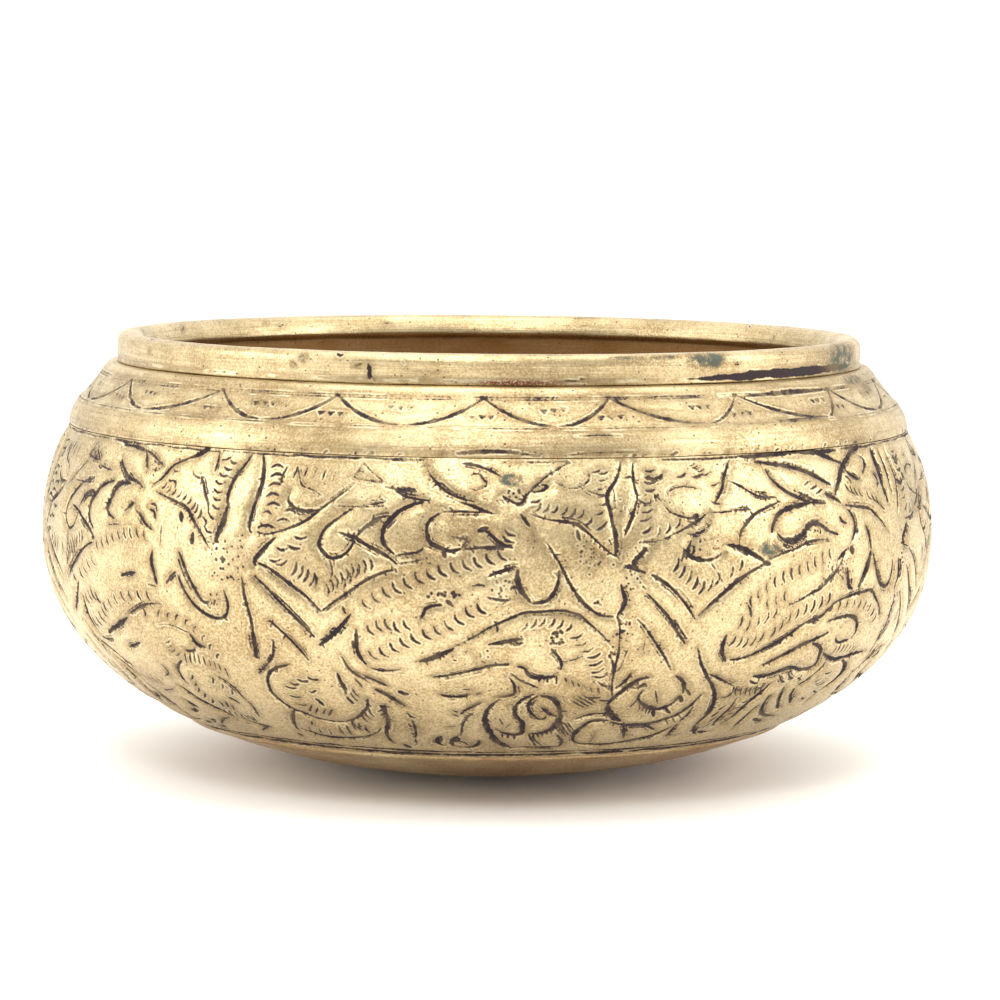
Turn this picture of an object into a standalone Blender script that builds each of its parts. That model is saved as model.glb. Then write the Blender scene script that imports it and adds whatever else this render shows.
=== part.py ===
"""Engraved brass urli bowl, as its maker put it together.

Four turned brass pieces nest in laps and are brazed along the inside of each lap: a thick rim
collar, a sloping shoulder ring, the bellied wall and a shallow base dish. Every piece is one
outline turned about the bowl's axis. The origin is the centre of the flat that it stands on,
+Z is up and the units are metres.
"""

import math

import bpy

MM = 0.001

# Driving dimensions: the belly, whose half section is a superellipse about WIDEST_HEIGHT.
WIDEST_RADIUS = 90.0 * MM
WIDEST_HEIGHT = 47.8 * MM
HALF_HEIGHT_BELOW = 48.6 * MM
HALF_HEIGHT_ABOVE = 53.0 * MM
SQUARENESS = 2.2

# The metal, and the joints between the pieces.
WALL_THICKNESS = 2.6 * MM
LAP_GAP = 0.3 * MM
LAP_THICKNESS = 1.7 * MM
LAP_LENGTH = 5.0 * MM
FILLET_LEG = 1.5 * MM

# Where the belly's pieces meet, as angles about the centre of the half section.
WALL_TOP_ANGLE = math.radians(13.7)
WALL_BOTTOM_ANGLE = math.radians(-31.2)
WALL_STEPS = 11

# The shoulder: a scalloped band that slopes up to a ledge, above a plain rounded band.
PLAIN_BAND_RADIUS = 84.4 * MM
PLAIN_BAND_HEIGHT = 70.6 * MM
PLAIN_BAND_TOP = (82.3 * MM, 74.2 * MM)
SCALLOP_BAND_FOOT = (81.6 * MM, 74.5 * MM)
SCALLOP_BAND_TOP = (78.1 * MM, 78.9 * MM)
LEDGE_RADIUS = 76.5 * MM
LEDGE_HEIGHT = 81.2 * MM
NECK_RADIUS = 72.9 * MM
NECK_DEPTH = 4.0 * MM

# The collar: a thick rounded ring that stands on the ledge and has a tongue in the neck.
COLLAR_OUTER_RADIUS = 75.0 * MM
COLLAR_INNER_RADIUS = 68.8 * MM
COLLAR_TOP = 87.0 * MM
COLLAR_EDGE_ROUND = 2.4 * MM
COLLAR_INNER_FOOT = 82.9 * MM
TONGUE_THICKNESS = 2.3 * MM
TONGUE_LENGTH = 6.0 * MM

# The base dish.
FOOT_RADIUS = 20.0 * MM
BASE_STEPS = 6

TURNED_STEPS = 60
BRASS = ((0.72, 0.55, 0.26, 1.0), 0.34)
BRAZE = ((0.62, 0.40, 0.22, 1.0), 0.48)


def clear_scene():
    """Removes whatever the file opened with."""
    for obj in list(bpy.data.objects):
        bpy.data.objects.remove(obj)


def metal(name, look):
    """A metallic material of one colour and roughness."""
    colour, roughness = look
    material = bpy.data.materials.new(name)
    material.use_nodes = True
    shader = material.node_tree.nodes["Principled BSDF"]
    shader.inputs["Base Color"].default_value = colour
    shader.inputs["Metallic"].default_value = 1.0
    shader.inputs["Roughness"].default_value = roughness
    return material


def belly_point(angle, depth=0.0):
    """The (radius, height) that lies depth inside the belly's outer skin, at this angle."""

    def skin(turn):
        half_height = HALF_HEIGHT_ABOVE if turn > 0 else HALF_HEIGHT_BELOW
        across = (math.cos(turn) / WIDEST_RADIUS) ** SQUARENESS
        along = (abs(math.sin(turn)) / half_height) ** SQUARENESS
        reach = (across + along) ** (-1 / SQUARENESS)
        return reach * math.cos(turn), WIDEST_HEIGHT + reach * math.sin(turn)

    small_turn = math.radians(0.05)
    radius, height = skin(angle)
    below, above = skin(angle - small_turn), skin(angle + small_turn)
    run, rise = above[0] - below[0], above[1] - below[1]
    slope = math.hypot(run, rise)
    return radius - depth * rise / slope, height + depth * run / slope


def belly_run(first, last, steps, depth=0.0):
    """Points along the belly from one angle to another, at one depth."""
    return [belly_point(first + (last - first) * i / steps, depth) for i in range(steps + 1)]


def lap_turn(angle):
    """The angle that a lap's length takes up there."""
    radius, height = belly_point(angle)
    return LAP_LENGTH / math.hypot(radius, height - WIDEST_HEIGHT)


def corner(centre, radius, first, last, steps=4):
    """Points on a round corner, from one direction to another in degrees."""
    turns = [math.radians(first + (last - first) * i / steps) for i in range(steps + 1)]
    return [(centre[0] + radius * math.cos(t), centre[1] + radius * math.sin(t)) for t in turns]


def turned(name, outline, material, closed=True):
    """Turns an outline about Z. It runs down its outer side and back up its inner side."""
    mesh = bpy.data.meshes.new(name)
    edges = [(i, i + 1) for i in range(len(outline) - 1)]
    if closed:
        edges.append((len(outline) - 1, 0))
    mesh.from_pydata([(radius, 0.0, height) for radius, height in outline], edges, [])
    mesh.materials.append(material)
    piece = bpy.data.objects.new(name, mesh)
    bpy.context.scene.collection.objects.link(piece)
    screw = piece.modifiers.new("turn", "SCREW")
    screw.axis = "Z"
    screw.steps = TURNED_STEPS
    screw.render_steps = TURNED_STEPS
    screw.use_merge_vertices = True
    screw.merge_threshold = 0.01 * MM
    screw.use_smooth_shade = True
    return piece


def rim_collar(material):
    """The thick ring round the mouth, with the tongue that locates it in the neck."""
    tongue_outer = NECK_RADIUS - LAP_GAP
    tongue_inner = tongue_outer - TONGUE_THICKNESS
    foot = LEDGE_HEIGHT + LAP_GAP
    edge = COLLAR_EDGE_ROUND
    outline = corner((COLLAR_INNER_RADIUS + edge, COLLAR_TOP - edge), edge, 180, 90)
    outline += corner((COLLAR_OUTER_RADIUS - edge, COLLAR_TOP - edge), edge, 90, 0)
    outline += [
        (COLLAR_OUTER_RADIUS, foot),
        (tongue_outer, foot),
        (tongue_outer, foot - TONGUE_LENGTH),
        (tongue_inner, foot - TONGUE_LENGTH),
        (tongue_inner, COLLAR_INNER_FOOT - edge / 2),
        (COLLAR_INNER_RADIUS, COLLAR_INNER_FOOT),
    ]
    return turned("rim_collar", outline, material)


def shoulder_ring(material):
    """The sloping ring between collar and wall, with a skirt that laps inside the wall."""
    skirt_depth = WALL_THICKNESS + LAP_GAP
    skirt_end = WALL_TOP_ANGLE - lap_turn(WALL_TOP_ANGLE)
    seat = belly_point(WALL_TOP_ANGLE)[1] + LAP_GAP
    skirt_outer = belly_run(WALL_TOP_ANGLE, skirt_end, 2, skirt_depth)
    skirt_inner = belly_run(skirt_end, WALL_TOP_ANGLE, 2, skirt_depth + LAP_THICKNESS)
    slope_run = SCALLOP_BAND_FOOT[0] - SCALLOP_BAND_TOP[0]
    slope_drop = SCALLOP_BAND_TOP[1] - SCALLOP_BAND_FOOT[1]
    slope = math.hypot(slope_run, slope_drop)
    inset = (WALL_THICKNESS * slope_drop / slope, WALL_THICKNESS * slope_run / slope)
    neck_foot = LEDGE_HEIGHT - NECK_DEPTH
    inner_top = (SCALLOP_BAND_TOP[0] - inset[0], neck_foot - 0.4 * MM)
    outline = [
        (NECK_RADIUS, LEDGE_HEIGHT),
        (LEDGE_RADIUS, LEDGE_HEIGHT),
        (LEDGE_RADIUS + 0.9 * MM, LEDGE_HEIGHT - 1.1 * MM),
        SCALLOP_BAND_TOP,
        SCALLOP_BAND_FOOT,
        PLAIN_BAND_TOP,
        (PLAIN_BAND_RADIUS - 0.8 * MM, PLAIN_BAND_HEIGHT + 1.7 * MM),
        (PLAIN_BAND_RADIUS, PLAIN_BAND_HEIGHT),
        (PLAIN_BAND_RADIUS, seat),
        (skirt_outer[0][0], seat),
        *skirt_outer,
        *skirt_inner,
        (SCALLOP_BAND_FOOT[0] - inset[0], SCALLOP_BAND_FOOT[1] - inset[1]),
        inner_top,
        (NECK_RADIUS, neck_foot),
    ]
    return turned("shoulder_ring", outline, material)


def frieze_wall(material):
    """The bellied wall that carries the engraved frieze."""
    outer = belly_run(WALL_TOP_ANGLE, WALL_BOTTOM_ANGLE, WALL_STEPS)
    inner = belly_run(WALL_BOTTOM_ANGLE, WALL_TOP_ANGLE, WALL_STEPS, WALL_THICKNESS)
    return turned("frieze_wall", outer + inner, material)


def base_dish(material):
    """The shallow dish that closes the bowl, flat underneath, with a flange inside the wall."""
    edge = WALL_BOTTOM_ANGLE - LAP_GAP / math.hypot(*belly_point(WALL_BOTTOM_ANGLE))
    flat = math.atan2(-WIDEST_HEIGHT, FOOT_RADIUS)
    flange_end = WALL_BOTTOM_ANGLE + lap_turn(WALL_BOTTOM_ANGLE)
    flange_depth = WALL_THICKNESS + LAP_GAP
    joggle = edge - lap_turn(edge) / 2
    outer = belly_run(edge, flat, BASE_STEPS)
    outer[-1] = (FOOT_RADIUS, 0.0)
    inner = belly_run(flat, joggle, BASE_STEPS, WALL_THICKNESS)
    floor = inner[0][1]
    flange_under = belly_run(flange_end, edge, 2, flange_depth)
    flange_top = belly_run(edge, flange_end, 2, flange_depth + LAP_THICKNESS)
    outline = [(0.0, floor)] + inner + flange_top + flange_under + outer + [(0.0, 0.0)]
    return turned("base_dish", outline, material, closed=False)


def fillet(name, corner_point, along_first, along_second, material):
    """A ring of braze that fills an inside corner, clear of both pieces by the lap gap."""
    a, b = along_first, along_second
    start = [corner_point[k] + LAP_GAP * (a[k] + b[k]) for k in (0, 1)]
    tips = [[start[k] + FILLET_LEG * way[k] for k in (0, 1)] for way in (a, b)]
    hollow = [start[k] + 0.3 * FILLET_LEG * (a[k] + b[k]) for k in (0, 1)]
    outline = [tips[0], start, tips[1], hollow]
    turns_left = a[0] * b[1] - a[1] * b[0] > 0
    return turned(name, outline if turns_left else outline[::-1], material)


def braze_fillets(material):
    """The three braze fillets, one in the corner that each lap leaves inside the bowl."""
    neck_corner = (NECK_RADIUS - LAP_GAP, LEDGE_HEIGHT - NECK_DEPTH - 0.1 * MM)
    fillet("collar_braze", neck_corner, (1.0, 0.0), (0.0, -1.0), material)

    skirt_end = WALL_TOP_ANGLE - lap_turn(WALL_TOP_ANGLE)
    skirt_corner = belly_point(skirt_end, WALL_THICKNESS)
    lower = belly_point(skirt_end - math.radians(1), WALL_THICKNESS)
    down = unit(skirt_corner, lower)
    inwards = unit(skirt_corner, belly_point(skirt_end, WALL_THICKNESS + LAP_THICKNESS))
    fillet("shoulder_braze", skirt_corner, inwards, down, material)

    flange_end = WALL_BOTTOM_ANGLE + lap_turn(WALL_BOTTOM_ANGLE)
    flange_corner = belly_point(flange_end, WALL_THICKNESS)
    higher = belly_point(flange_end + math.radians(1), WALL_THICKNESS)
    up = unit(flange_corner, higher)
    inwards = unit(flange_corner, belly_point(flange_end, WALL_THICKNESS + LAP_THICKNESS))
    fillet("base_braze", flange_corner, up, inwards, material)


def unit(start, end):
    """The direction from one point of the half section to another."""
    run, rise = end[0] - start[0], end[1] - start[1]
    length = math.hypot(run, rise)
    return run / length, rise / length


def main():
    clear_scene()
    brass = metal("brass", BRASS)
    braze = metal("braze", BRAZE)
    rim_collar(brass)
    shoulder_ring(brass)
    frieze_wall(brass)
    base_dish(brass)
    braze_fillets(braze)


main()
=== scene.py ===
# %% [markdown]
# # An engraved brass bowl
# The bowl is four turned brass pieces, nested in laps and brazed from the inside: a rim collar, a
# shoulder ring, the bellied wall and a base dish. A smith then cut a band of leaves into the wall.
# This lesson rebuilds each piece as a fine surface inside the plain solids of the packed model.
# Lengths below are in millimetres until a mesh is made, and angles round the bowl are in degrees
# from the middle of its front, growing to the right.

# %% The frame and the numbers that everything hangs on
import math
import bpy
import numpy as np
from mathutils import Matrix, Vector


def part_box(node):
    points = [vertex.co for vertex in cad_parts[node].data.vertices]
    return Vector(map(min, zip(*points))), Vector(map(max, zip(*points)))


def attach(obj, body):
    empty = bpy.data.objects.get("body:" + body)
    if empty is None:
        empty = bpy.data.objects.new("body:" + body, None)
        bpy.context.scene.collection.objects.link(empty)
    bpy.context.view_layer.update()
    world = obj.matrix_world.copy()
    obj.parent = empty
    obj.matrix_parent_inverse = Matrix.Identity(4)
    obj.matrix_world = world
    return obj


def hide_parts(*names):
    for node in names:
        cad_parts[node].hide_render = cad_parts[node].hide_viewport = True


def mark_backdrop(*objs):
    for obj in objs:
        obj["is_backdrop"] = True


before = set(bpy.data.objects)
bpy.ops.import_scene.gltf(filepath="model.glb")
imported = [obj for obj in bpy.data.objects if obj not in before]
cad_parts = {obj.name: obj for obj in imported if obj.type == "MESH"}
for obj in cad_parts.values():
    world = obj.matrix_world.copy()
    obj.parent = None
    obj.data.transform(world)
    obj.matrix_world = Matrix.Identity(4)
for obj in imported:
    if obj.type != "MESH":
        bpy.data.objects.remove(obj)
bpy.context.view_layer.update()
MM = 0.001
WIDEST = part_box("frieze_wall")[1][0] / MM
RIM_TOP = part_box("rim_collar")[1][2] / MM
print(f"the bowl is {2 * WIDEST:.1f} mm across and {RIM_TOP:.1f} mm high")

# %% [markdown]
# ## Camera
# The bowl is seen from the front and slightly above, from about four bowl widths away, so a long
# lens is used. The camera leans a hair to one side, as a hand-levelled tripod does.

# %% The camera
CAMERA_DISTANCE = 8.0 * WIDEST
CAMERA_HEIGHT = 125.6
CAMERA_ASIDE = 2.5
LOOKING_DOWN = math.radians(5.773)
LEAN = math.radians(0.54)
LENS = 128.1


def make_camera():
    """A camera in front of the bowl: turned up from straight down, then leaned about its own axis."""
    data = bpy.data.cameras.new("camera")
    data.lens = LENS
    data.sensor_width = 36.0
    data.clip_start = 0.01
    camera = bpy.data.objects.new("camera", data)
    place = Matrix.Translation((CAMERA_ASIDE * MM, -CAMERA_DISTANCE * MM, CAMERA_HEIGHT * MM))
    raised = Matrix.Rotation(math.pi / 2 - LOOKING_DOWN, 4, "X")
    camera.matrix_world = place @ raised @ Matrix.Rotation(LEAN, 4, "Z")
    bpy.context.scene.collection.objects.link(camera)
    bpy.context.scene.camera = camera
    return camera


make_camera()
print("camera", LENS, "mm lens")

# %% [markdown]
# ## Studio
# Brass has no colour of its own but its reflections, so the studio is a white tent: a bright sky
# that is darker where the camera stands, soft panels at the sides, and a white floor.

# %% The floor
FLOOR_SIZE = 30000.0
FLOOR_GLOW = 0.02


def make_floor():
    """A large flat square under the bowl, in plain white."""
    half = FLOOR_SIZE / 2 * MM
    mesh = bpy.data.meshes.new("floor")
    corners = [(-half, -half, 0), (half, -half, 0), (half, half, 0), (-half, half, 0)]
    mesh.from_pydata(corners, [], [(0, 1, 2, 3)])
    floor = bpy.data.objects.new("floor", mesh)
    bpy.context.scene.collection.objects.link(floor)
    paint = bpy.data.materials.new("floor_white")
    paint.use_nodes = True
    shader = paint.node_tree.nodes["Principled BSDF"]
    shader.inputs["Base Color"].default_value = (0.94, 0.92, 0.90, 1)
    shader.inputs["Roughness"].default_value = 0.9
    shader.inputs["Emission Color"].default_value = (0.97, 0.98, 1.0, 1)
    shader.inputs["Emission Strength"].default_value = FLOOR_GLOW
    mesh.materials.append(paint)
    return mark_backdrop(floor)


make_floor()
print("floor", FLOOR_SIZE * MM, "m wide")

# %% The sky
SKY_FRONT = 0.43
SKY_BACK = 1.50
SKY_TOP = 0.50


def make_sky():
    """A white sky whose brightness runs from SKY_FRONT behind the camera to SKY_BACK opposite it, and
    gains SKY_TOP overhead."""
    world = bpy.data.worlds.new("white_tent")
    world.use_nodes = True
    nodes, links = world.node_tree.nodes, world.node_tree.links
    nodes.clear()
    where = nodes.new("ShaderNodeTexCoord")
    split = nodes.new("ShaderNodeSeparateXYZ")
    ramp = nodes.new("ShaderNodeMapRange")
    ramp.interpolation_type = "SMOOTHSTEP"
    ramp.inputs["From Min"].default_value = -1.0
    ramp.inputs["From Max"].default_value = 0.35
    ramp.inputs["To Min"].default_value = SKY_FRONT
    ramp.inputs["To Max"].default_value = SKY_BACK
    overhead = nodes.new("ShaderNodeMapRange")
    overhead.interpolation_type = "SMOOTHSTEP"
    overhead.inputs["From Min"].default_value = 0.15
    overhead.inputs["From Max"].default_value = 0.85
    overhead.inputs["To Max"].default_value = SKY_TOP
    total = nodes.new("ShaderNodeMath")
    sky = nodes.new("ShaderNodeBackground")
    sky.inputs["Color"].default_value = (1.0, 0.99, 0.97, 1)
    out = nodes.new("ShaderNodeOutputWorld")
    links.new(where.outputs["Generated"], split.inputs[0])
    links.new(split.outputs["Y"], ramp.inputs["Value"])
    links.new(split.outputs["Z"], overhead.inputs["Value"])
    links.new(ramp.outputs["Result"], total.inputs[0])
    links.new(overhead.outputs["Result"], total.inputs[1])
    links.new(total.outputs[0], sky.inputs["Strength"])
    links.new(sky.outputs[0], out.inputs["Surface"])
    bpy.context.scene.world = world


make_sky()
print("sky from", SKY_FRONT, "to", SKY_BACK)

# %% The lamps
def make_lamp(name, place, size, watts):
    """A square area lamp at place, in mm, turned to face the bowl's middle."""
    data = bpy.data.lights.new(name, "AREA")
    data.shape = "SQUARE"
    data.size = size * MM
    data.energy = watts
    lamp = bpy.data.objects.new(name, data)
    target = np.array([0.0, 0.0, RIM_TOP / 2])
    away = (np.array(place) - target) * MM
    lamp.location = tuple(np.array(place) * MM)
    lamp.rotation_euler = Vector(away).to_track_quat("Z", "Y").to_euler()
    bpy.context.scene.collection.objects.link(lamp)


PANEL_LAMPS = [
    ("left_panel", (-900, -250, 420), 600, 4.3),
    ("right_panel", (900, -250, 420), 600, 4.5),
    ("front_panel", (-150, -1100, 950), 360, 6.1),
    ("top_panel", (0, -150, 1100), 800, 6.0),
]
for lamp in PANEL_LAMPS:
    make_lamp(*lamp)
bpy.context.scene.view_settings.view_transform = "Standard"
bpy.context.scene.view_settings.look = "None"
print(len(PANEL_LAMPS), "lamps")

# %% [markdown]
# ## Curves
# Every section of the bowl is an outline in radius and height. The belly follows a superellipse,
# fuller than a circle, and the turned pieces have straight runs whose corners are softened by use.

# %% The belly's skin and softened outlines
WIDEST_HEIGHT = 47.8
HALF_BELOW = 48.6
HALF_ABOVE = 53.0
SQUARENESS = 2.2
WALL_TOP = 13.7
WALL_BOTTOM = -31.2
WALL_THICKNESS = 2.6


def belly(angle, depth=0.0):
    """Radius and height of the belly's skin at an angle in degrees above its widest height.

    The skin is where (r / widest)^n + (|z| / half height)^n = 1. The point is then moved inwards by
    depth along the slope of that formula, which is the skin's normal."""
    turn = np.radians(np.asarray(angle, float))
    c, s = np.cos(turn), np.sin(turn)
    half = np.where(s < 0, HALF_BELOW, HALF_ABOVE)
    reach = ((c / WIDEST) ** SQUARENESS + (np.abs(s) / half) ** SQUARENESS) ** (-1 / SQUARENESS)
    r, z = reach * c, reach * s
    slope_r = (r / WIDEST) ** (SQUARENESS - 1) / WIDEST
    slope_z = np.sign(z) * (np.abs(z) / half) ** (SQUARENESS - 1) / half
    length = np.hypot(slope_r, slope_z)
    return np.stack([r - depth * slope_r / length, WIDEST_HEIGHT + z - depth * slope_z / length], -1)


def running_length(outline):
    """How far along the outline each of its points is."""
    return np.concatenate([[0], np.cumsum(np.hypot(*np.diff(outline, axis=0).T))])


def even(points, step):
    """The same line with points about step apart: new places are read along its running length."""
    points = np.asarray(points, float)
    run = running_length(points)
    count = max(2, int(round(run[-1] / step)) + 1)
    wanted = np.linspace(0, run[-1], count)
    return np.stack([np.interp(wanted, run, points[:, k]) for k in (0, 1)], -1)


def softened(corners, steps=6):
    """A line through corners (radius, height, softness). At each corner it turns along the curve
    (1-t)^2 A + 2t(1-t) C + t^2 B, where A and B lie softness away from the corner C on its two sides."""
    corners = np.asarray(corners, float)
    points = [corners[0, :2]]
    t = np.linspace(0, 1, steps)[:, None]
    for before, here, after in zip(corners[:-2], corners[1:-1], corners[2:]):
        back, ahead = before[:2] - here[:2], after[:2] - here[:2]
        start = here[:2] + back / np.hypot(*back) * min(here[2], 0.5 * np.hypot(*back))
        end = here[:2] + ahead / np.hypot(*ahead) * min(here[2], 0.5 * np.hypot(*ahead))
        points.extend((1 - t) ** 2 * start + 2 * t * (1 - t) * here[:2] + t ** 2 * end)
    points.append(corners[-1, :2])
    return np.array(points)


def outward(outline):
    """Unit normals of an outline that runs down its outer side: its direction turned by a right angle."""
    along = np.gradient(outline, axis=0)
    along /= np.hypot(along[:, 0], along[:, 1])[:, None]
    return np.stack([-along[:, 1], along[:, 0]], -1)


print("the wall's foot is at radius and height", belly(WALL_BOTTOM).round(1))

# %% [markdown]
# ## From an outline to a surface
# A turned surface is a grid: one way along the outline, the other way round the axis. Fine relief
# moves each point along the outline's normal. The outside needs a grid much finer than the plain
# inside, so the two are joined by strips of faces that gather several fine points to one coarse one.

# %% Grids and their faces
def swept(outline, degrees, relief=0.0):
    """The grid of an outline turned about the axis: (r sin a, -r cos a, z), each point first moved
    along the outline's normal by relief, an array with a row for each outline point."""
    normal = outward(outline)
    r = outline[:, 0, None] + normal[:, 0, None] * relief
    z = outline[:, 1, None] + normal[:, 1, None] * relief
    turn = np.radians(degrees)[None, :]
    z = np.broadcast_to(z, np.broadcast_shapes(z.shape, turn.shape))
    return np.stack([r * np.sin(turn), -r * np.cos(turn), z + 0 * turn], -1)


def grid_normals(grid, closed):
    """Unit normals of a grid: the cross product of its steps round the axis and along the outline."""
    if closed:
        across = np.roll(grid, -1, 1) - np.roll(grid, 1, 1)
    else:
        across = np.gradient(grid, axis=1)
    along = np.gradient(grid, axis=0)
    normal = np.cross(across, -along)
    return normal / np.maximum(np.linalg.norm(normal, axis=2, keepdims=True), 1e-12)


def quads(first, rows, columns, closed):
    """Faces of a grid of points numbered row by row from first."""
    i, j = np.meshgrid(np.arange(rows - 1), np.arange(columns if closed else columns - 1), indexing="ij")
    here, under = first + i * columns, first + (i + 1) * columns
    k = (j + 1) % columns
    return np.stack([here + j, under + j, under + k, here + k], -1).reshape(-1, 4)


def gathered(fine_row, coarse_row, closed):
    """Faces between a row of coarse points and the row of fine points under it: each takes a stretch
    of the fine row and the two coarse points over its ends."""
    count = len(coarse_row) if closed else len(coarse_row) - 1
    ratio = (len(fine_row) if closed else len(fine_row) - 1) // count
    j = np.arange(count)
    stretch = fine_row[(j[:, None] * ratio + np.arange(ratio + 1)[None, :]) % len(fine_row)]
    ends = np.stack([coarse_row[(j + 1) % len(coarse_row)], coarse_row[j]], -1)
    return np.concatenate([stretch, ends], 1)


print("a grid of 3 by 4 points has", len(quads(0, 3, 4, False)), "faces")

# %% Meshes
FAR = 2.0


def build_mesh(name, points, faces, marks, normals=None):
    """A mesh object from points in mm, groups of faces of equal size, and one array for each mark."""
    mesh = bpy.data.meshes.new(name)
    sizes = np.concatenate([np.full(len(group), group.shape[1]) for group in faces])
    corners = np.concatenate([group.ravel() for group in faces])
    mesh.vertices.add(len(points))
    mesh.vertices.foreach_set("co", (points * MM).astype(np.float32).ravel())
    mesh.loops.add(len(corners))
    mesh.loops.foreach_set("vertex_index", corners.astype(np.int32))
    mesh.polygons.add(len(sizes))
    mesh.polygons.foreach_set("loop_start", (np.cumsum(sizes) - sizes).astype(np.int32))
    mesh.update(calc_edges=True)
    mesh.validate()
    mesh.shade_smooth()
    for mark, values in marks.items():
        mesh.attributes.new(mark, "FLOAT", "POINT").data.foreach_set("value", values.astype(np.float32))
    if normals is not None:
        mesh.normals_split_custom_set_from_vertices(normals.astype(np.float32).tolist())
    piece = bpy.data.objects.new(name, mesh)
    bpy.context.scene.collection.objects.link(piece)
    triangles = int((sizes - 2).sum())
    print(f"{name}: {len(points)} points, {triangles} triangles")
    return piece


def two_grids(fine, coarse, fine_marks, closed=True):
    """A closed body from a fine grid outside and a coarse grid inside. The outline runs down the
    fine grid, on along the coarse one and back to the start; a sector gets a flat face at each end."""
    rows, columns = fine.shape[:2]
    few_rows, few = coarse.shape[:2]
    second = rows * columns
    fine_index = np.arange(second).reshape(rows, columns)
    coarse_index = second + np.arange(few_rows * few).reshape(few_rows, few)
    faces = [
        quads(0, rows, columns, closed),
        quads(second, few_rows, few, closed),
        gathered(fine_index[0], coarse_index[-1], closed),
        gathered(fine_index[-1], coarse_index[0], closed)[:, ::-1],
    ]
    if not closed:
        start = np.concatenate([fine_index[:, 0], coarse_index[:, 0]])
        end = np.concatenate([fine_index[:, -1], coarse_index[:, -1]])
        faces += [start[None, ::-1], end[None, :]]
    points = np.concatenate([fine.reshape(-1, 3), coarse.reshape(-1, 3)])
    # inside is 1 on the coarse inner grid, which the material paints with shade (SHADED)
    plain = {"cut": FAR, "inside": 1.0, "verdigris": 0.0, "copper": 0.0}
    marks = {}
    for mark, value in plain.items():
        seen = fine_marks.get(mark, np.full((rows, columns), FAR if mark == "cut" else 0.0))
        marks[mark] = np.concatenate([seen.ravel(), np.full(few_rows * few, value)])
    return points, faces, marks


print("marks reach", FAR, "mm from a cut")

# %% [markdown]
# ## The graver
# A graver is pushed through the metal and leaves a groove with sloping sides, so a wider cut is also
# a deeper one. It is enough to know, for each point of the surface, how far it is from the edge of
# the nearest cut: below zero inside a cut, above zero outside. One such field gives the depth of the
# groove, the burr thrown up along its edge and the place of the tarnish that later fills it.

# %% Curves drawn through given points
STROKE_STEP = 0.16
MM_PER_DEGREE = 1.45


def smooth_line(points):
    """A curve through given points (degrees, mm), as a Catmull-Rom spline: each stretch is
    half of 2B + (C-A)t + (2A-5B+4C-D)t^2 + (3B-A-3C+D)t^3, with A B C D four points in a row."""
    p = np.asarray(points, float)
    p = np.concatenate([[2 * p[0] - p[1]], p, [2 * p[-1] - p[-2]]])
    t = np.linspace(0, 1, 12, endpoint=False)[:, None, None]
    a, b, c, d = p[None, :-3], p[None, 1:-2], p[None, 2:-1], p[None, 3:]
    line = 2 * b + (c - a) * t + (2 * a - 5 * b + 4 * c - d) * t ** 2 + (3 * b - a - 3 * c + d) * t ** 3
    line = 0.5 * line
    line = np.concatenate([line.transpose(1, 0, 2).reshape(-1, 2), p[-2:-1]])
    steps = np.diff(line, axis=0)
    run = np.concatenate([[0], np.cumsum(np.hypot(steps[:, 0] * MM_PER_DEGREE, steps[:, 1]))])
    wanted = np.linspace(0, run[-1], max(3, int(run[-1] / STROKE_STEP) + 1))
    line = np.stack([np.interp(wanted, run, line[:, k]) for k in (0, 1)], -1)
    return eased(line, min(6, (len(line) - 1) // 4))


def eased(line, reach):
    """The line with its sharp turns eased: each point becomes the mean of its neighbours up to reach
    away, weighted by a raised cosine. The line is first carried on past its ends by mirroring it
    through them, so that the ends stay where they are."""
    if reach < 1:
        return line
    before = 2 * line[0] - line[reach:0:-1]
    after = 2 * line[-1] - line[-2:-reach - 2:-1]
    longer = np.concatenate([before, line, after])
    weight = 1 + np.cos(np.pi * np.arange(-reach, reach + 1) / (reach + 1))
    return np.stack([np.convolve(longer[:, k], weight / weight.sum(), "valid") for k in (0, 1)], -1)


print("a point on a stroke every", STROKE_STEP, "mm")

# %% Cuts, ticks and punches
LEAST_WIDTH = 0.2
SWELL = 0.75
TREMBLE = 0.16


def cut(width, *points):
    """One engraved line: its curve, and half its width at each point. It swells in the middle as
    sin(pi t)^0.55, and a fifth of its width is left at the ends. The graver trembles, so the width
    wavers by a sixth from one half millimetre to the next. Each cut draws its own random numbers,
    from a seed made of its first point, so a cut added later leaves the others alone."""
    line = smooth_line(points)
    t = np.linspace(0, 1, len(line))
    chance = np.random.default_rng(int(abs(points[0][0] * 997 + points[0][1] * 131) * 10))
    waver = np.interp(np.arange(len(line)) / 3.0, np.arange(len(line)), chance.normal(1, TREMBLE, len(line)))
    line = line + chance.normal(0, 0.012, line.shape)
    return line, 0.5 * width * (LEAST_WIDTH + SWELL * np.sin(np.pi * t) ** 0.55) * np.clip(waver, 0.6, 1.4)


TICK_BREADTH = 0.88


def ticks(path, count, reach, width=0.4, bow=0.2):
    """A row of short bowed cuts along a path. Each goes from the path by reach (degrees, mm), and its
    middle stands aside by bow times its length."""
    line = smooth_line(path)
    starts = line[np.linspace(0, len(line) - 1, count).round().astype(int)]
    aside = np.array([-reach[1] / MM_PER_DEGREE, reach[0] * MM_PER_DEGREE]) * bow
    middle = np.array(reach) * 0.5 + aside
    return [cut(width * TICK_BREADTH, a, a + middle, a + reach) for a in starts]


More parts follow.
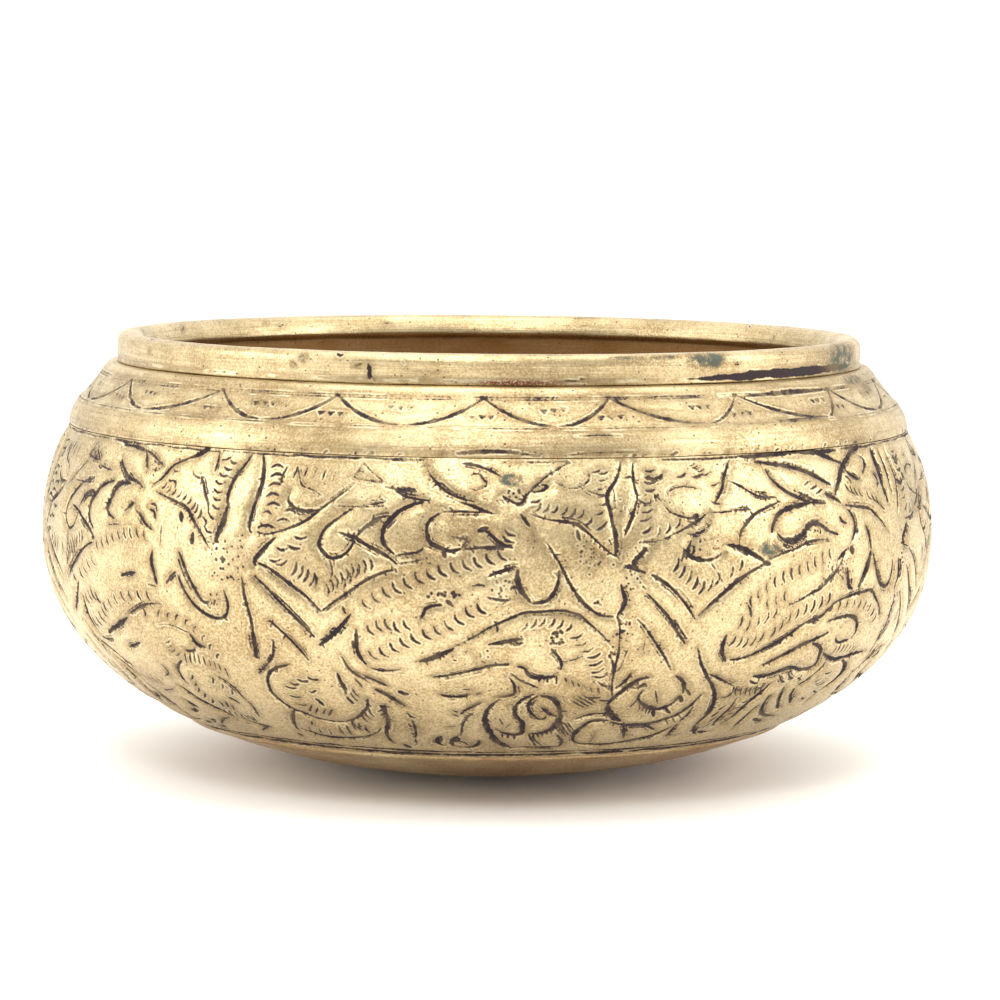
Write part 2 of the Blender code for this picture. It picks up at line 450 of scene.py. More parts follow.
def slips(strokes, seed):
    """What a hurried graver leaves beside its cuts: a hairline that follows a stretch of a long cut
    about a third of a millimetre away, and short spurs that leave its edge at a steep angle."""
    chance = np.random.default_rng(seed)
    result = []
    for line, half_width in strokes:
        if len(line) < 20 or half_width.max() < 0.16:
            continue
        along = np.gradient(line, axis=0) * (MM_PER_DEGREE, 1)
        along /= np.maximum(np.hypot(along[:, 0], along[:, 1]), 1e-9)[:, None]
        aside = np.stack([along[:, 1] / MM_PER_DEGREE, -along[:, 0]], -1)
        for side in (-1, 1):
            count = int(len(line) * chance.uniform(0.25, 0.6))
            first = chance.integers(0, len(line) - count)
            gap = side * (half_width[first:first + count] + chance.uniform(0.22, 0.5))
            part = line[first:first + count] + aside[first:first + count] * gap[:, None]
            if chance.random() < 0.6:
                result.append((part, np.full(count, chance.uniform(0.05, 0.09))))
            for at in chance.integers(1, len(line) - 1, len(line) // 16):
                lean = along[at] / (MM_PER_DEGREE, 1) * chance.normal(0, 0.6)
                run = np.linspace(0, 1, 5)[:, None] * (half_width[at] + chance.uniform(0.25, 0.7))
                result.append((line[at] + (side * aside[at] + lean) * run, np.linspace(0.11, 0.04, 5)))
    return result


def dots(lower, upper, count, size=0.4, seed=1):
    """Round punch marks scattered in a box between two corners."""
    chance = np.random.default_rng(seed)
    spots = chance.uniform(lower, upper, (count, 2))
    return [(spot[None, :], np.array([size / 2 * chance.uniform(0.6, 1.1)])) for spot in spots]


def moved(strokes, degrees, stretch=1.0, about=0.0, unsteady=0.0, seed=0):
    """The same strokes further round the bowl, stretched sideways about an angle. An unsteady hand
    shifts each stroke a little."""
    chance = np.random.default_rng(seed)
    result = []
    for line, half_width in strokes:
        shake = chance.normal(0, unsteady, 2)
        place = line.copy()
        place[:, 0] = about + (line[:, 0] - about) * stretch + degrees + shake[0]
        place[:, 1] += shake[1]
        result.append((place, half_width))
    return result


print("a cut has", len(cut(0.5, (0, 0), (2, 0))[0]), "points on two degrees")

# %% How far each point of a surface is from a cut
CHUNK = 20


def nearest_cut(strokes, columns, rows, radii):
    """For each point of a grid, the distance in mm to the edge of the nearest stroke, at most FAR.

    columns are angles in even steps all round, rows are mm along the outline in even steps, and
    radii are the rows' radii. The distance is the hypotenuse of the arc and the height between
    a grid point and a point of the stroke, less half the stroke's width there."""
    field = np.full((len(rows), len(columns)), FAR)
    pace = rows[1] - rows[0]
    turn = columns[1] - columns[0]
    arc = np.radians(radii)
    reach = FAR + 0.7
    for line, half_width in strokes:
        for first in range(0, len(line), CHUNK):
            part, half = line[first:first + CHUNK + 1], half_width[first:first + CHUNK + 1]
            low = max(0, int((part[:, 1].min() - reach - rows[0]) / pace))
            high = min(len(rows), int((part[:, 1].max() + reach - rows[0]) / pace) + 2)
            if high <= low:
                continue
            side = reach / arc[low:high].min()
            left = int(math.floor((part[:, 0].min() - side - columns[0]) / turn))
            right = int(math.ceil((part[:, 0].max() + side - columns[0]) / turn)) + 1
            wanted = np.arange(left, right)
            angle = columns[0] + wanted * turn
            sideways = (angle[None, :, None] - part[None, None, :, 0]) * arc[low:high, None, None]
            upright = (rows[low:high, None, None] - part[None, None, :, 1])
            near = (np.hypot(sideways, upright) - half).min(2)
            window = np.ix_(np.arange(low, high), wanted % len(columns))
            field[window] = np.minimum(field[window], near)
    return field


print("strokes are measured", CHUNK, "points at a time")

# %% Noise, blots and the groove's shape
def wandering(shape, cells, seed):
    """Smooth noise on a grid that closes on itself round the bowl: random heights at cells[0] by
    cells[1] places, blended with t^2 (3 - 2t) between neighbours. It stays between -1 and 1."""
    heights = np.random.default_rng(seed).uniform(-1, 1, (cells[0] + 2, cells[1]))
    v = np.linspace(0, cells[0], shape[0])
    u = np.arange(shape[1]) * cells[1] / shape[1]
    i, j = v.astype(int), u.astype(int)
    a, b = v - i, u - j
    a, b = (a * a * (3 - 2 * a))[:, None], (b * b * (3 - 2 * b))[None, :]
    k = (j + 1) % cells[1]
    top = heights[np.ix_(i, j)] * (1 - b) + heights[np.ix_(i, k)] * b
    low = heights[np.ix_(i + 1, j)] * (1 - b) + heights[np.ix_(i + 1, k)] * b
    return top * (1 - a) + low * a


def spots(degrees, places, blots):
    """Soft round blots, given as (angle, place, half width in degrees, half height in mm, strength):
    the largest of strength exp(-(da / half width)^2 - (dp / half height)^2)."""
    seen = np.zeros((len(places), len(degrees)))
    for angle, place, wide, tall, strength in blots:
        turn = (degrees[None, :] - angle + 180) % 360 - 180
        blot = strength * np.exp(-(turn / wide) ** 2 - ((places[:, None] - place) / tall) ** 2)
        seen = np.maximum(seen, blot)
    return seen


GROOVE_SLOPE = 0.85
DEEPEST = 0.5


def groove(distance, burr=0.035):
    """Height of the surface by a cut: a V inside it, and a low rounded burr just outside its edge."""
    inside = -np.minimum(GROOVE_SLOPE * np.maximum(-distance, 0), DEEPEST)
    return inside + burr * np.exp(-((distance - 0.14) / 0.12) ** 2)


print("the deepest groove is", DEEPEST, "mm")

# %% [markdown]
# ## The drawing
# The frieze is a rank of leaves, fans and scrolls that repeats about every 46 degrees. The smith
# drew it afresh each time, so three repeats are drawn here stroke by stroke, and the others copy
# them with an unsteady hand. A stroke's points are (degrees from the front, mm below the top edge).

# %% Middle repeat: lobes and feather leaf


def middle_lobes():
    """Three round lobes that hang to the left of a crossing, and the thin leaves above them."""
    return [
        cut(0.30, (-15.1, 0.8), (-15.7, 3.2), (-16.2, 3.7), (-14.5, 4.2), (-12.3, 4.4), (-13.6, 3),
            (-15.1, 0.8)),
        *ticks([(-15.4, 1.6), (-13.6, 3.2)], 4, (-0.6, 1.8), 0.25, 0),
        *ticks([(-15.2, 2.8), (-14, 4.2)], 3, (1.2, 0.6), 0.25, 0),
        cut(0.30, (-12, 5.3), (-10, 5.8), (-8.2, 6.1)),
        cut(0.35, (-11, 5.6), (-9.5, 7), (-7.5, 7.5), (-6.5, 7.7)),
        cut(0.25, (-17.8, 9.2), (-16, 9.1), (-14.5, 9.2), (-12, 8.9)),
        cut(0.35, (-14.5, 8.9), (-12.9, 8.5), (-11.8, 8)),
        cut(0.38, (-15.7, 4.8), (-17.2, 6.8), (-18.8, 8.8), (-20.3, 10.5)),
        cut(0.55, (-7.4, 1.1), (-6.8, 2.6), (-6, 4), (-5.2, 5.2), (-4.3, 6.2), (-3, 7), (-1.2, 7.8)),
        cut(0.35, (-6.4, 5.2), (-5.6, 4.2), (-4.8, 5)),
        cut(0.65, (-2.8, 7.9), (-1.5, 8.5), (0, 9.5), (1, 9.9)),
        cut(0.35, (-5.1, 9.6), (-3, 9.6), (0.3, 9.7), (1.2, 9.9)),
        cut(0.85, (-5, 9.6), (-6.3, 10.8), (-6.9, 12.5), (-6.7, 14), (-6.5, 15.2), (-5.5, 16), (-4.2, 16.7),
            (-3.3, 16.5), (-2.8, 16.2)),
        cut(0.60, (-4.9, 16.5), (-4.6, 17.8)),
        cut(0.35, (-2.7, 16.4), (-1, 16.1), (0.5, 15.9), (3, 15.9)),
        cut(0.30, (-2.8, 16.3), (-2.4, 15.3), (-1.9, 14.6), (-2.8, 14.4), (-4, 14)),
        cut(0.60, (-0.5, 12.6), (0.2, 13.2), (1.2, 14.6), (2, 15.5), (3.1, 16)),
        cut(0.70, (-0.9, 13.1), (0.3, 12.4)),
        cut(0.40, (2.2, 12.8), (2.6, 13.6), (3.4, 13.9)),
        cut(0.40, (1.9, 13.6), (2.3, 14.7), (3.3, 15.1)),
        cut(0.85, (-7.3, 7.9), (-8.5, 8.4), (-9.8, 9.3), (-10.4, 10), (-11, 11), (-11.8, 12.5), (-12, 14),
            (-11.9, 15.5), (-11.2, 16.7), (-10.6, 17.5)),
        cut(0.55, (-10.3, 17.8), (-9, 17.4), (-7.6, 16.9), (-6.8, 15.6)),
        cut(0.38, (-11.3, 10.6), (-12.6, 11.1), (-13.4, 12), (-14.5, 13.6), (-15.2, 14.9)),
        cut(0.65, (-15.6, 9.4), (-16.8, 10.6), (-18, 12), (-19, 13.4), (-19.5, 15), (-19.6, 16.8),
            (-19, 17.6),
            (-18.4, 18.6), (-17.2, 18.5), (-16.2, 17.6), (-15.5, 16), (-15.2, 14.9)),
        cut(0.70, (-17.2, 14), (-16, 14.5), (-15, 15), (-14, 15.9), (-12.5, 17), (-11, 18.3), (-10.2, 19.4)),
        cut(0.35, (-18.4, 18.6), (-18, 19.8), (-17.8, 21.5), (-18.2, 23)),
    ]


def middle_feather():
    """A long feather leaf whose rows of crescents run down to its tip on the left."""
    return [
        *ticks([(-13.4, 18.3), (-15.8, 19.6), (-18.6, 23.3)], 9, (0.2, 2.4), 0.38, -0.16),
        *ticks([(-14.9, 20), (-16.4, 22.2)], 3, (-0.1, 2), 0.36, -0.16),
        cut(0.36, (-20, 21.6), (-19.7, 23), (-20.1, 24.4)),
        cut(0.55, (-19.4, 28.7), (-18, 27), (-16, 24.8), (-14, 22.6), (-12, 21), (-10.3, 20.2)),
        cut(0.30, (-10, 19.2), (-8.5, 18.8), (-7, 18.2)),
        *dots((-9, 17.9), (-6.2, 19.4), 12, 0.35, 2),
        *ticks([(1.4, 16.4), (-0.7, 17.5), (-4.4, 19), (-7.2, 20.2), (-9.7, 22), (-11.8, 23.4),
                (-14.3, 25.7)], 13,
               (1.05, 1.9), 0.42, 0.2),
        cut(0.40, (-16.6, 27.3), (-16.5, 28.2), (-16.3, 28.8)),
        *ticks([(-0.9, 26.1), (-2.4, 27), (-5.1, 29.8), (-7.9, 31.6), (-10.2, 33.2), (-12.2, 35),
                (-13.9, 35.8)], 11,
               (1.05, 1.9), 0.42, 0.2),
        *ticks([(-9.4, 29.3), (-10.8, 30), (-11.7, 29.3), (-12.8, 29.8), (-13.8, 30.5)], 5, (0.75, 2.1),
               0.40, 0.18),
        cut(0.75, (-15.7, 28.8), (-17, 31.2), (-18.5, 33.5), (-20.1, 35.5)),
        cut(0.70, (-15.2, 31.5), (-15.3, 33.5), (-15.4, 36), (-15, 38), (-14.4, 39.5)),
        cut(0.45, (-14.6, 39.4), (-13.5, 39.9), (-12, 40.2), (-10.2, 39.8)),
        cut(0.65, (-5, 26.5), (-6.7, 27.1), (-7.1, 28.2), (-7.5, 29.4)),
        *dots((-6.5, 24), (-2.5, 25), 14, 0.5, 3),
        cut(0.60, (-4.4, 25.7), (-3.8, 26.4)),
        cut(0.45, (0.4, 21.2), (1.5, 20.4), (2.5, 20), (3.4, 19.3), (3.8, 19.7)),
        cut(0.35, (-1.8, 23.1), (-0.8, 22.7), (0, 22.9)),
        cut(0.35, (0.2, 24.9), (0.8, 25.2), (2, 25.5), (3.2, 25.4)),
        *dots((0.2, 21.5), (3.4, 25), 16, 0.3, 4),
    ]


print("lobes and feather:", len(middle_lobes() + middle_feather()), "strokes")

# %% Middle repeat: petals and fan


def middle_petals():
    """Two rounded petals under the crossing, and the line between feather and stem."""
    return [
        cut(0.75, (4, 10), (4.5, 11), (5.1, 12.3)),
        cut(0.30, (5.2, 12.4), (5.6, 14), (5.5, 16), (5.2, 16.9)),
        cut(0.95, (3.7, 19.8), (3.7, 22), (4.2, 24), (4.9, 25.3), (5.2, 25.9)),
        cut(0.80, (5.3, 26.1), (6.6, 25.9), (7.4, 25.4), (8, 24), (8.4, 22.2), (8.5, 20.2)),
        cut(0.60, (6.8, 14.6), (7.4, 16), (7.9, 17.3), (8.6, 19), (9.2, 21), (10, 23.3), (11, 25.5), (12, 27),
            (13.4, 28.5), (15, 28.8)),
        *ticks([(7.9, 17.3), (8.9, 19.6)], 3, (0.8, -0.1), 0.3, 0),
        cut(0.70, (15.8, 22.7), (16.1, 24.5), (16.4, 25.5), (16.2, 27), (15.6, 28.5)),
        cut(0.45, (15.5, 28.8), (15.8, 30.5), (16, 33), (16.1, 36.5), (16, 40), (16.1, 43.5), (16.8, 47.3)),
        *dots((15, 29.8), (17.3, 37), 26, 0.42, 5),
        *dots((12.2, 25.6), (13.4, 27), 5, 0.35, 6),
    ]


def middle_fan():
    """A fan leaf that opens to the right of the crossing, with crescents along its edges."""
    return [
        cut(0.38, (4.6, 6.8), (5.4, 5.4), (6.5, 3.8), (8, 2.2), (9.2, 1), (10.2, 0.3)),
        cut(0.50, (-2.8, 0.5), (-1.4, 0.8), (0.3, 1.7), (1.8, 3)),
        cut(0.45, (-1.8, 2.7), (-0.7, 2.5), (-0.5, 3.4), (0.2, 4.4), (-0.5, 5.2), (-1.5, 5.9)),
        cut(0.60, (2, 6.6), (2.8, 7.4), (3.8, 8.1), (4.4, 7.6), (4.7, 6.2)),
        *dots((2, 5.2), (4.4, 7), 9, 0.35, 7),
        *ticks([(1.2, 7.4), (2, 6.8)], 3, (0.6, 1), 0.25, 0),
        cut(0.45, (5.2, 9.9), (7, 10.8), (9, 11.3), (10.3, 11.6), (11.2, 12.5), (12.3, 14), (13.5, 15.8),
            (14.6, 17.2),
            (15.1, 17.7)),
        cut(0.40, (5.2, 7.8), (5.9, 7.8), (6.5, 7.2)),
        *ticks([(5.6, 9.5), (7.2, 9.7), (9.1, 10.3), (10.7, 10.7)], 6, (0.8, -1.5), 0.38, 0.2),
        cut(0.38, (11.7, 12), (12.2, 11.4), (12.4, 10.6)),
        cut(0.38, (12.6, 10.2), (13.3, 10.1), (13.9, 9.4)),
        cut(0.40, (12.9, 12.9), (13.6, 12.4), (14.2, 11.4)),
        cut(0.60, (10.6, 13), (10.7, 14), (10.9, 14.8)),
        *ticks([(12.8, 2.2), (13.8, 2.4), (13.6, 3.4), (13.3, 5), (13.1, 6.7), (13.3, 8.4)], 6, (1.2, -0.6),
               0.42, 0.15),
        cut(0.35, (12.4, 2.2), (12.3, 3.8), (11.2, 5), (10, 5.3), (8.8, 4.6), (8.2, 4)),
        cut(0.55, (5.8, 5.8), (6.8, 5.5), (7.4, 4.6), (6.6, 4.5)),
        cut(0.35, (12, 5.6), (13, 6.3), (14.2, 6.5)),
        *dots((10.5, 14.5), (15, 21), 34, 0.36, 8),
    ]


print("petals and fan:", len(middle_petals() + middle_fan()), "strokes")

# %% Middle repeat: spear and curl
def middle_spear():
    """A tall narrow spear from the top edge down to the stippled crossing."""
    return [
        cut(0.75, (16.6, 0.3), (16.3, 2), (15.6, 4), (14.8, 5.5), (14.4, 7), (14.6, 8.8), (14.8, 11),
            (15, 13)),
        cut(0.90, (15, 12), (15.2, 14), (15.3, 15.8), (15.1, 17.6)),
        cut(0.30, (15.3, 5.2), (15.3, 7.8), (15.2, 9.2)),
        cut(0.50, (18.2, 0.5), (18, 2.5), (18, 5), (18.2, 7), (18, 8.5)),
        cut(0.65, (18.1, 7.5), (17.5, 10), (16.9, 12), (16.3, 14)),
        cut(0.40, (18.2, 7.3), (18.7, 8.1), (19.4, 8.3), (20, 7.8)),
        cut(0.45, (16.7, 3.5), (17.7, 3)),
        *dots((15.9, 5), (17.6, 10.5), 13, 0.34, 9),
        *dots((16, 15), (19, 24), 16, 0.34, 10),
    ]


def middle_curl():
    """The curled leaf between the spear and the next lobes, with its crescents."""
    return [
        cut(0.40, (19.6, 2.1), (20.3, 2.2), (20.9, 1.9)),
        cut(0.55, (19.5, 3.2), (20.3, 3.6), (21.2, 3.4), (21.9, 2.7)),
        cut(0.50, (19.2, 4.2), (20, 4.5), (20.8, 4.2)),
        cut(0.50, (19.2, 5.8), (19.9, 6), (20.6, 5.6)),
        cut(0.40, (18.5, 9.9), (19.2, 9.9), (19.9, 9.3)),
        cut(0.40, (18.2, 11.4), (18.9, 11.4), (19.6, 10.8)),
        cut(0.40, (18.4, 13.7), (19.1, 13.3), (19.6, 12.5)),
        cut(0.40, (23.4, 3.4), (24.2, 3.4), (24.9, 2.7)),
        cut(0.45, (25.6, 3.6), (26.5, 3.5), (27.3, 2.9)),
        cut(0.40, (27.2, 3.3), (27.9, 3.1), (28.4, 2.5)),
        cut(0.40, (28, 5.3), (28.7, 5.2), (29.3, 4.7)),
        *ticks([(20, 14.5), (21.3, 13.9), (22.6, 13)], 3, (0.6, -1.9), 0.42, 0.2),
        cut(0.42, (22, 7.2), (22.1, 6.3), (22.9, 5.6), (24, 5.3), (25.4, 5.5), (26.2, 5.8)),
        cut(0.45, (21.4, 8.7), (21.9, 9.8), (23, 10.6), (24.3, 11.2), (25.2, 11.2), (26, 11.3)),
        cut(0.90, (25, 10.9), (25.9, 10.8)),
        cut(0.35, (27.5, 12.2), (26.2, 13.6), (25, 14.2), (24, 14)),
        cut(0.30, (20.2, 6.6), (20.8, 7.4), (21, 8)),
        *dots((20.3, 6.7), (21, 7.9), 4, 0.5, 11),
        cut(0.38, (18, 15.3), (19.5, 15.3), (21, 14.9), (22.8, 13.8)),
        cut(0.55, (22.5, 14), (24.5, 12.6), (26, 11.5), (27, 10.4)),
        *ticks([(25.6, 1.4), (26.6, 2.6)], 4, (0.9, -0.6), 0.28, 0.1),
    ]


print("spear and curl:", len(middle_spear() + middle_curl()), "strokes")

# %% Middle repeat: stems, scrolls and arch


def middle_stems():
    """The stems that leave the crossing at the foot of the spear, to the lower right."""
    return [
        cut(0.45, (16, 19.8), (17, 19.9), (18.7, 20.8)),
        cut(0.80, (19, 16.3), (18.2, 17.6), (17.3, 19), (17.9, 20.6)),
        cut(0.60, (19.6, 21.3), (21, 22.6), (22.6, 24.6), (24, 27), (25.4, 29.9)),
        cut(0.60, (18.9, 24.5), (20.5, 27), (22, 29.5), (23.3, 32.3), (24.7, 35)),
        cut(0.30, (22.6, 29.8), (23.6, 31.8), (24.6, 33.8)),
        cut(0.50, (18, 29.5), (19, 31), (20, 33), (21, 35), (22.4, 37.8), (23.6, 40.7)),
        cut(0.35, (19.3, 33), (19.2, 35), (19.4, 36.5)),
        cut(0.55, (18.4, 41), (17.9, 42.8), (17, 44.8)),
        cut(0.35, (15.3, 37), (15.8, 39), (15.9, 41)),
        *ticks([(17.2, 35.5), (16.8, 38.5)], 3, (-0.3, 1.6), 0.3, 0),
    ]


def middle_scrolls():
    """Two long scroll leaves that rise to the right and curl under an arch of crescents."""
    return [
        cut(0.60, (-17.5, 37.6), (-16.7, 40.6), (-15.7, 42), (-14.6, 43.6)),
        cut(0.80, (-15.3, 41.6), (-13.8, 43), (-12.3, 44.4)),
        cut(0.40, (-16.3, 42.5), (-15.7, 44), (-15.6, 45)),
        cut(0.90, (-8, 38.2), (-6.5, 37.4), (-5, 36.2), (-3.6, 35.1)),
        cut(0.50, (-4.2, 35.4), (-2.8, 34), (-1.2, 32.6), (0.3, 31), (1.8, 29.8), (3.2, 28.8), (4.5, 27.9),
            (6.5, 27.7),
            (9, 27.5), (10.2, 28), (11.2, 28.6), (12, 29.8), (13.5, 31.8), (15, 34.3)),
        cut(0.55, (-6.4, 41.7), (-4.5, 41.1), (-2.5, 40.3), (-0.5, 39.3), (1, 38.6), (3, 38.4)),
        cut(0.65, (0.4, 34.2), (2, 33.7), (3.4, 33.2), (4.5, 33)),
        cut(0.45, (3.4, 34.3), (4.5, 33.6)),
        cut(0.60, (7.9, 35), (8.8, 36.8), (9.3, 38.2), (9.3, 39.6)),
        cut(0.70, (4, 38.8), (4.8, 39.1), (5, 39.8), (5.6, 41), (6.8, 41.5), (8.9, 41.2)),
        *ticks([(6.7, 40.6), (8.9, 41.2)], 3, (0, 1.5), 0.38, 0),
        cut(0.30, (9.4, 37.9), (10.5, 37.3), (11.8, 36.6)),
        cut(0.45, (3.2, 40.2), (4.2, 41.6), (5.4, 42.7), (6.6, 43.6)),
        cut(0.65, (3, 41.4), (3.6, 42.8), (3.8, 44.2), (3.8, 45.6), (2.8, 46.3), (1.5, 46.7)),
        cut(1.00, (-10.9, 45.3), (-10.3, 46), (-9.8, 46)),
        cut(0.75, (-5.6, 46.2), (-4.5, 46.7), (-3.2, 46.6), (-2.2, 46.2), (-1.8, 45.9)),
        cut(0.35, (-1, 45.4), (-0.4, 44.9)),
        cut(0.35, (-2.8, 44.3), (-1.6, 44.1)),
        *ticks([(4.9, 29.6), (6.4, 28.8), (7.5, 28.8), (8.9, 29.1), (10.1, 29.7)], 6, (-0.7, 1.7), 0.42,
               -0.15),
        *ticks([(10, 32.7), (10.6, 34.1), (11.3, 35.5), (12.2, 36.4), (12.7, 38.5), (13.1, 40.2)], 6,
               (1.5, -0.9), 0.45, 0.2),
        cut(0.40, (13.2, 41), (14.2, 41.5), (14.9, 41.2), (15.1, 40.2)),
        cut(0.45, (14.1, 42.4), (15, 43.5), (16, 43.8)),
        *dots((7.8, 31), (9.3, 34), 20, 0.55, 12),
        *dots((-5, 35), (0.5, 38), 18, 0.3, 13),
        cut(0.35, (1.4, 30.2), (1.5, 31.4)),
        *ticks([(9.9, 41.3), (11.3, 42.3), (13, 43.6), (14.3, 44)], 6, (0.4, 1.4), 0.38, 0),
        *ticks([(11, 47), (12.4, 45.6)], 4, (2.3, 2.6), 0.26, 0),
        cut(0.55, (13, 46.5), (14, 46.8), (15, 46.7)),
        cut(0.40, (15, 47.4), (16.5, 48.2)),
    ]


print("stems and scrolls:", len(middle_stems() + middle_scrolls()), "strokes")

# %% Middle repeat: the bottom row


def middle_bottom():
    """Pods, seeds and a coiled rosette that stand along the lower border."""
    return [
        cut(0.80, (-13.3, 49.8), (-13.5, 52), (-13.6, 54.5), (-14, 57), (-14.6, 59.5), (-14.9, 62),
            (-14.8, 64), (-14.4, 65.3)),
        cut(0.85, (-14, 45.2), (-12.6, 46.8), (-11.3, 48.8), (-10.5, 50.2)),
        cut(0.55, (-10.1, 54.5), (-10, 57), (-10.2, 60), (-10.6, 62.5), (-10.7, 65)),
        *ticks([(-10.7, 55.5), (-10.9, 62.5)], 5, (0.3, 1.6), 0.3, 0),
        cut(0.95, (-12.7, 64.4), (-12.2, 65.5), (-11.8, 65.9)),
        cut(0.45, (-13.9, 49.7), (-13.4, 51.2)),
        cut(0.50, (-10.4, 51.6), (-9.9, 53.1), (-9.2, 53.2)),
        *ticks([(-14.4, 51.5), (-14.2, 54)], 3, (0.8, -0.6), 0.3, 0),
        cut(0.90, (-6.4, 60.6), (-7, 61.8), (-7.3, 63.2), (-6.8, 64.7), (-6, 64.9)),
        cut(0.60, (-0.2, 48), (-1.5, 49.4), (-2.6, 50.7), (-3.2, 51.9)),
        *ticks([(-4.2, 50.3), (-4.3, 51.6)], 2, (0.8, 0.9), 0.45, 0),
        cut(0.45, (-1.4, 50.9), (-2.2, 52.2), (-2.8, 54), (-3.1, 56), (-3.3, 58.5), (-4, 60)),
        cut(0.35, (-5.3, 56.1), (-4, 55.5)),
        cut(0.75, (-4, 60.2), (-4.8, 62), (-5.1, 64), (-4.8, 65)),
        cut(0.50, (-3.7, 60.8), (-3.9, 62.4), (-3, 63.2), (-2.6, 64.4)),
        cut(0.80, (-4.6, 65.3), (-3.2, 65.9), (-1.8, 65.4), (-1, 63.9), (-0.7, 62)),
        cut(1.05, (2, 47.2), (1, 48.8), (0.3, 50.8), (0.1, 53), (0.3, 55.5), (0.8, 58), (1.4, 60.5),
            (2.2, 62.4),
            (3.2, 64), (4.4, 66)),
        cut(0.85, (4.8, 65.4), (6.5, 65.5), (8.5, 65.7), (10, 65.7), (12, 65.5)),
        cut(0.70, (12.1, 65.3), (12.1, 63.2), (11.5, 61.3), (10.8, 59.7)),
        cut(0.95, (6.2, 45.7), (5, 47), (4.2, 49), (4, 51), (4.5, 53), (5.3, 54.4), (5.4, 56.5), (5.5, 58.6),
            (4.4, 59.4), (2.8, 58.6), (1.5, 57)),
        cut(0.60, (7, 46.1), (6, 47.4), (5.8, 49), (6, 50.6), (6.6, 52.2), (7.4, 53.5)),
        cut(0.95, (7.2, 46.2), (8.5, 46.8), (9.5, 48.5), (10.1, 50.6), (10.3, 52.2)),
        cut(0.80, (10.3, 52), (10.3, 53.8), (9.9, 56.3), (9.2, 57.6), (8, 58.8), (6.8, 58.9)),
        cut(0.70, (7.6, 49.8), (8.2, 50.8), (9, 52), (9.8, 52.5)),
        cut(0.40, (7.4, 53.6), (8.2, 53), (8.4, 52.2)),
        *ticks([(9.6, 57.4), (7.2, 59.2)], 5, (0.2, 1.3), 0.32, 0),
        cut(0.30, (6.5, 59), (7.3, 61.5), (8.2, 64.5)),
        cut(0.26, (7.1, 59.4), (7.9, 61.8), (9.2, 64.2)),
        *ticks([(2.6, 58.8), (4.4, 59.6)], 3, (0.1, 1.2), 0.35, 0),
        cut(0.30, (2, 52.5), (2.7, 55.3)),
        cut(0.30, (3, 56.2), (3.6, 54.2)),
        *ticks([(3.2, 48.2), (3.9, 50.6)], 5, (0.6, 0.2), 0.28, 0),
        cut(0.95, (21, 42.3), (19.8, 42.6), (18.8, 43.8), (17.9, 45.5), (17.1, 47.3), (16.6, 49),
            (16.6, 50.6)),
        cut(1.35, (16.6, 49.8), (17.2, 52), (18.1, 53.6), (19.4, 55)),
        cut(0.90, (24.6, 42.2), (25.8, 43.5), (26.5, 45.2), (26.8, 47)),
        cut(0.95, (18, 55.2), (19.8, 56.3), (22, 56.8), (24.2, 56.7), (26.2, 55.8), (27.8, 54.4),
            (28.8, 52.6), (29.4, 50.6),
            (29.9, 48)),
        cut(0.85, (20.8, 45.5), (20.4, 47), (20.7, 48.5), (21.5, 49.6), (22.8, 50.9), (24.2, 51.6),
            (25.4, 50.9), (26.2, 49.5),
            (26.4, 47.8)),
        cut(0.55, (20.4, 48.4), (19.6, 50)),
        cut(0.80, (23.4, 51.5), (23.9, 52.8), (24.3, 54.2)),
        cut(0.45, (25.2, 51.3), (26.4, 52.8)),
        cut(0.80, (26.5, 47.6), (27.2, 49.4)),
        cut(0.50, (27, 46), (28, 47.6)),
        *ticks([(21.2, 50), (23, 51.6)], 4, (0.1, 1.2), 0.35, 0),
        cut(0.50, (19.3, 44.8), (20.2, 44.2), (20.4, 43.4), (20.9, 44.4)),
        cut(0.30, (22.3, 45.3), (22.9, 47.4), (23.6, 49.4)),
        cut(0.60, (29.9, 51.8), (29.9, 54.5), (29.5, 57)),
        cut(0.90, (17.5, 54.6), (15.2, 54.7), (14.2, 56.5), (13.6, 58.5), (13.4, 60.6), (13.8, 62.6),
            (14.8, 64)),
        cut(1.20, (14.6, 64), (17, 64.8), (19.3, 65.1), (21.5, 64.7), (23.8, 63.7), (26, 62.7), (27.6, 61),
            (28.8, 58.6)),
        cut(0.60, (20.1, 55.6), (20.6, 57.5), (21.3, 60), (21.9, 62.2)),
        cut(0.30, (16.3, 58), (16.5, 60.5), (16.4, 63)),
        cut(0.50, (23.2, 56.8), (24.6, 57.9), (25.8, 59.2), (26.6, 60)),
        *ticks([(26.6, 55.6), (28.4, 54.2)], 3, (0.9, 1.4), 0.32, 0),
        cut(0.65, (12.7, 53.8), (13.8, 53), (15.2, 52.3), (16.8, 52.2)),
        cut(0.55, (10.2, 51.2), (11, 50.7)),
        cut(0.75, (10.1, 51.5), (10.6, 53), (10.3, 54), (11, 55.4)),
        *ticks([(10.2, 55.2), (11.6, 54.4)], 4, (1.9, 4.4), 0.32, 0),
    ]


print("the middle repeat is drawn")

# %% Right repeat: the upper leaves


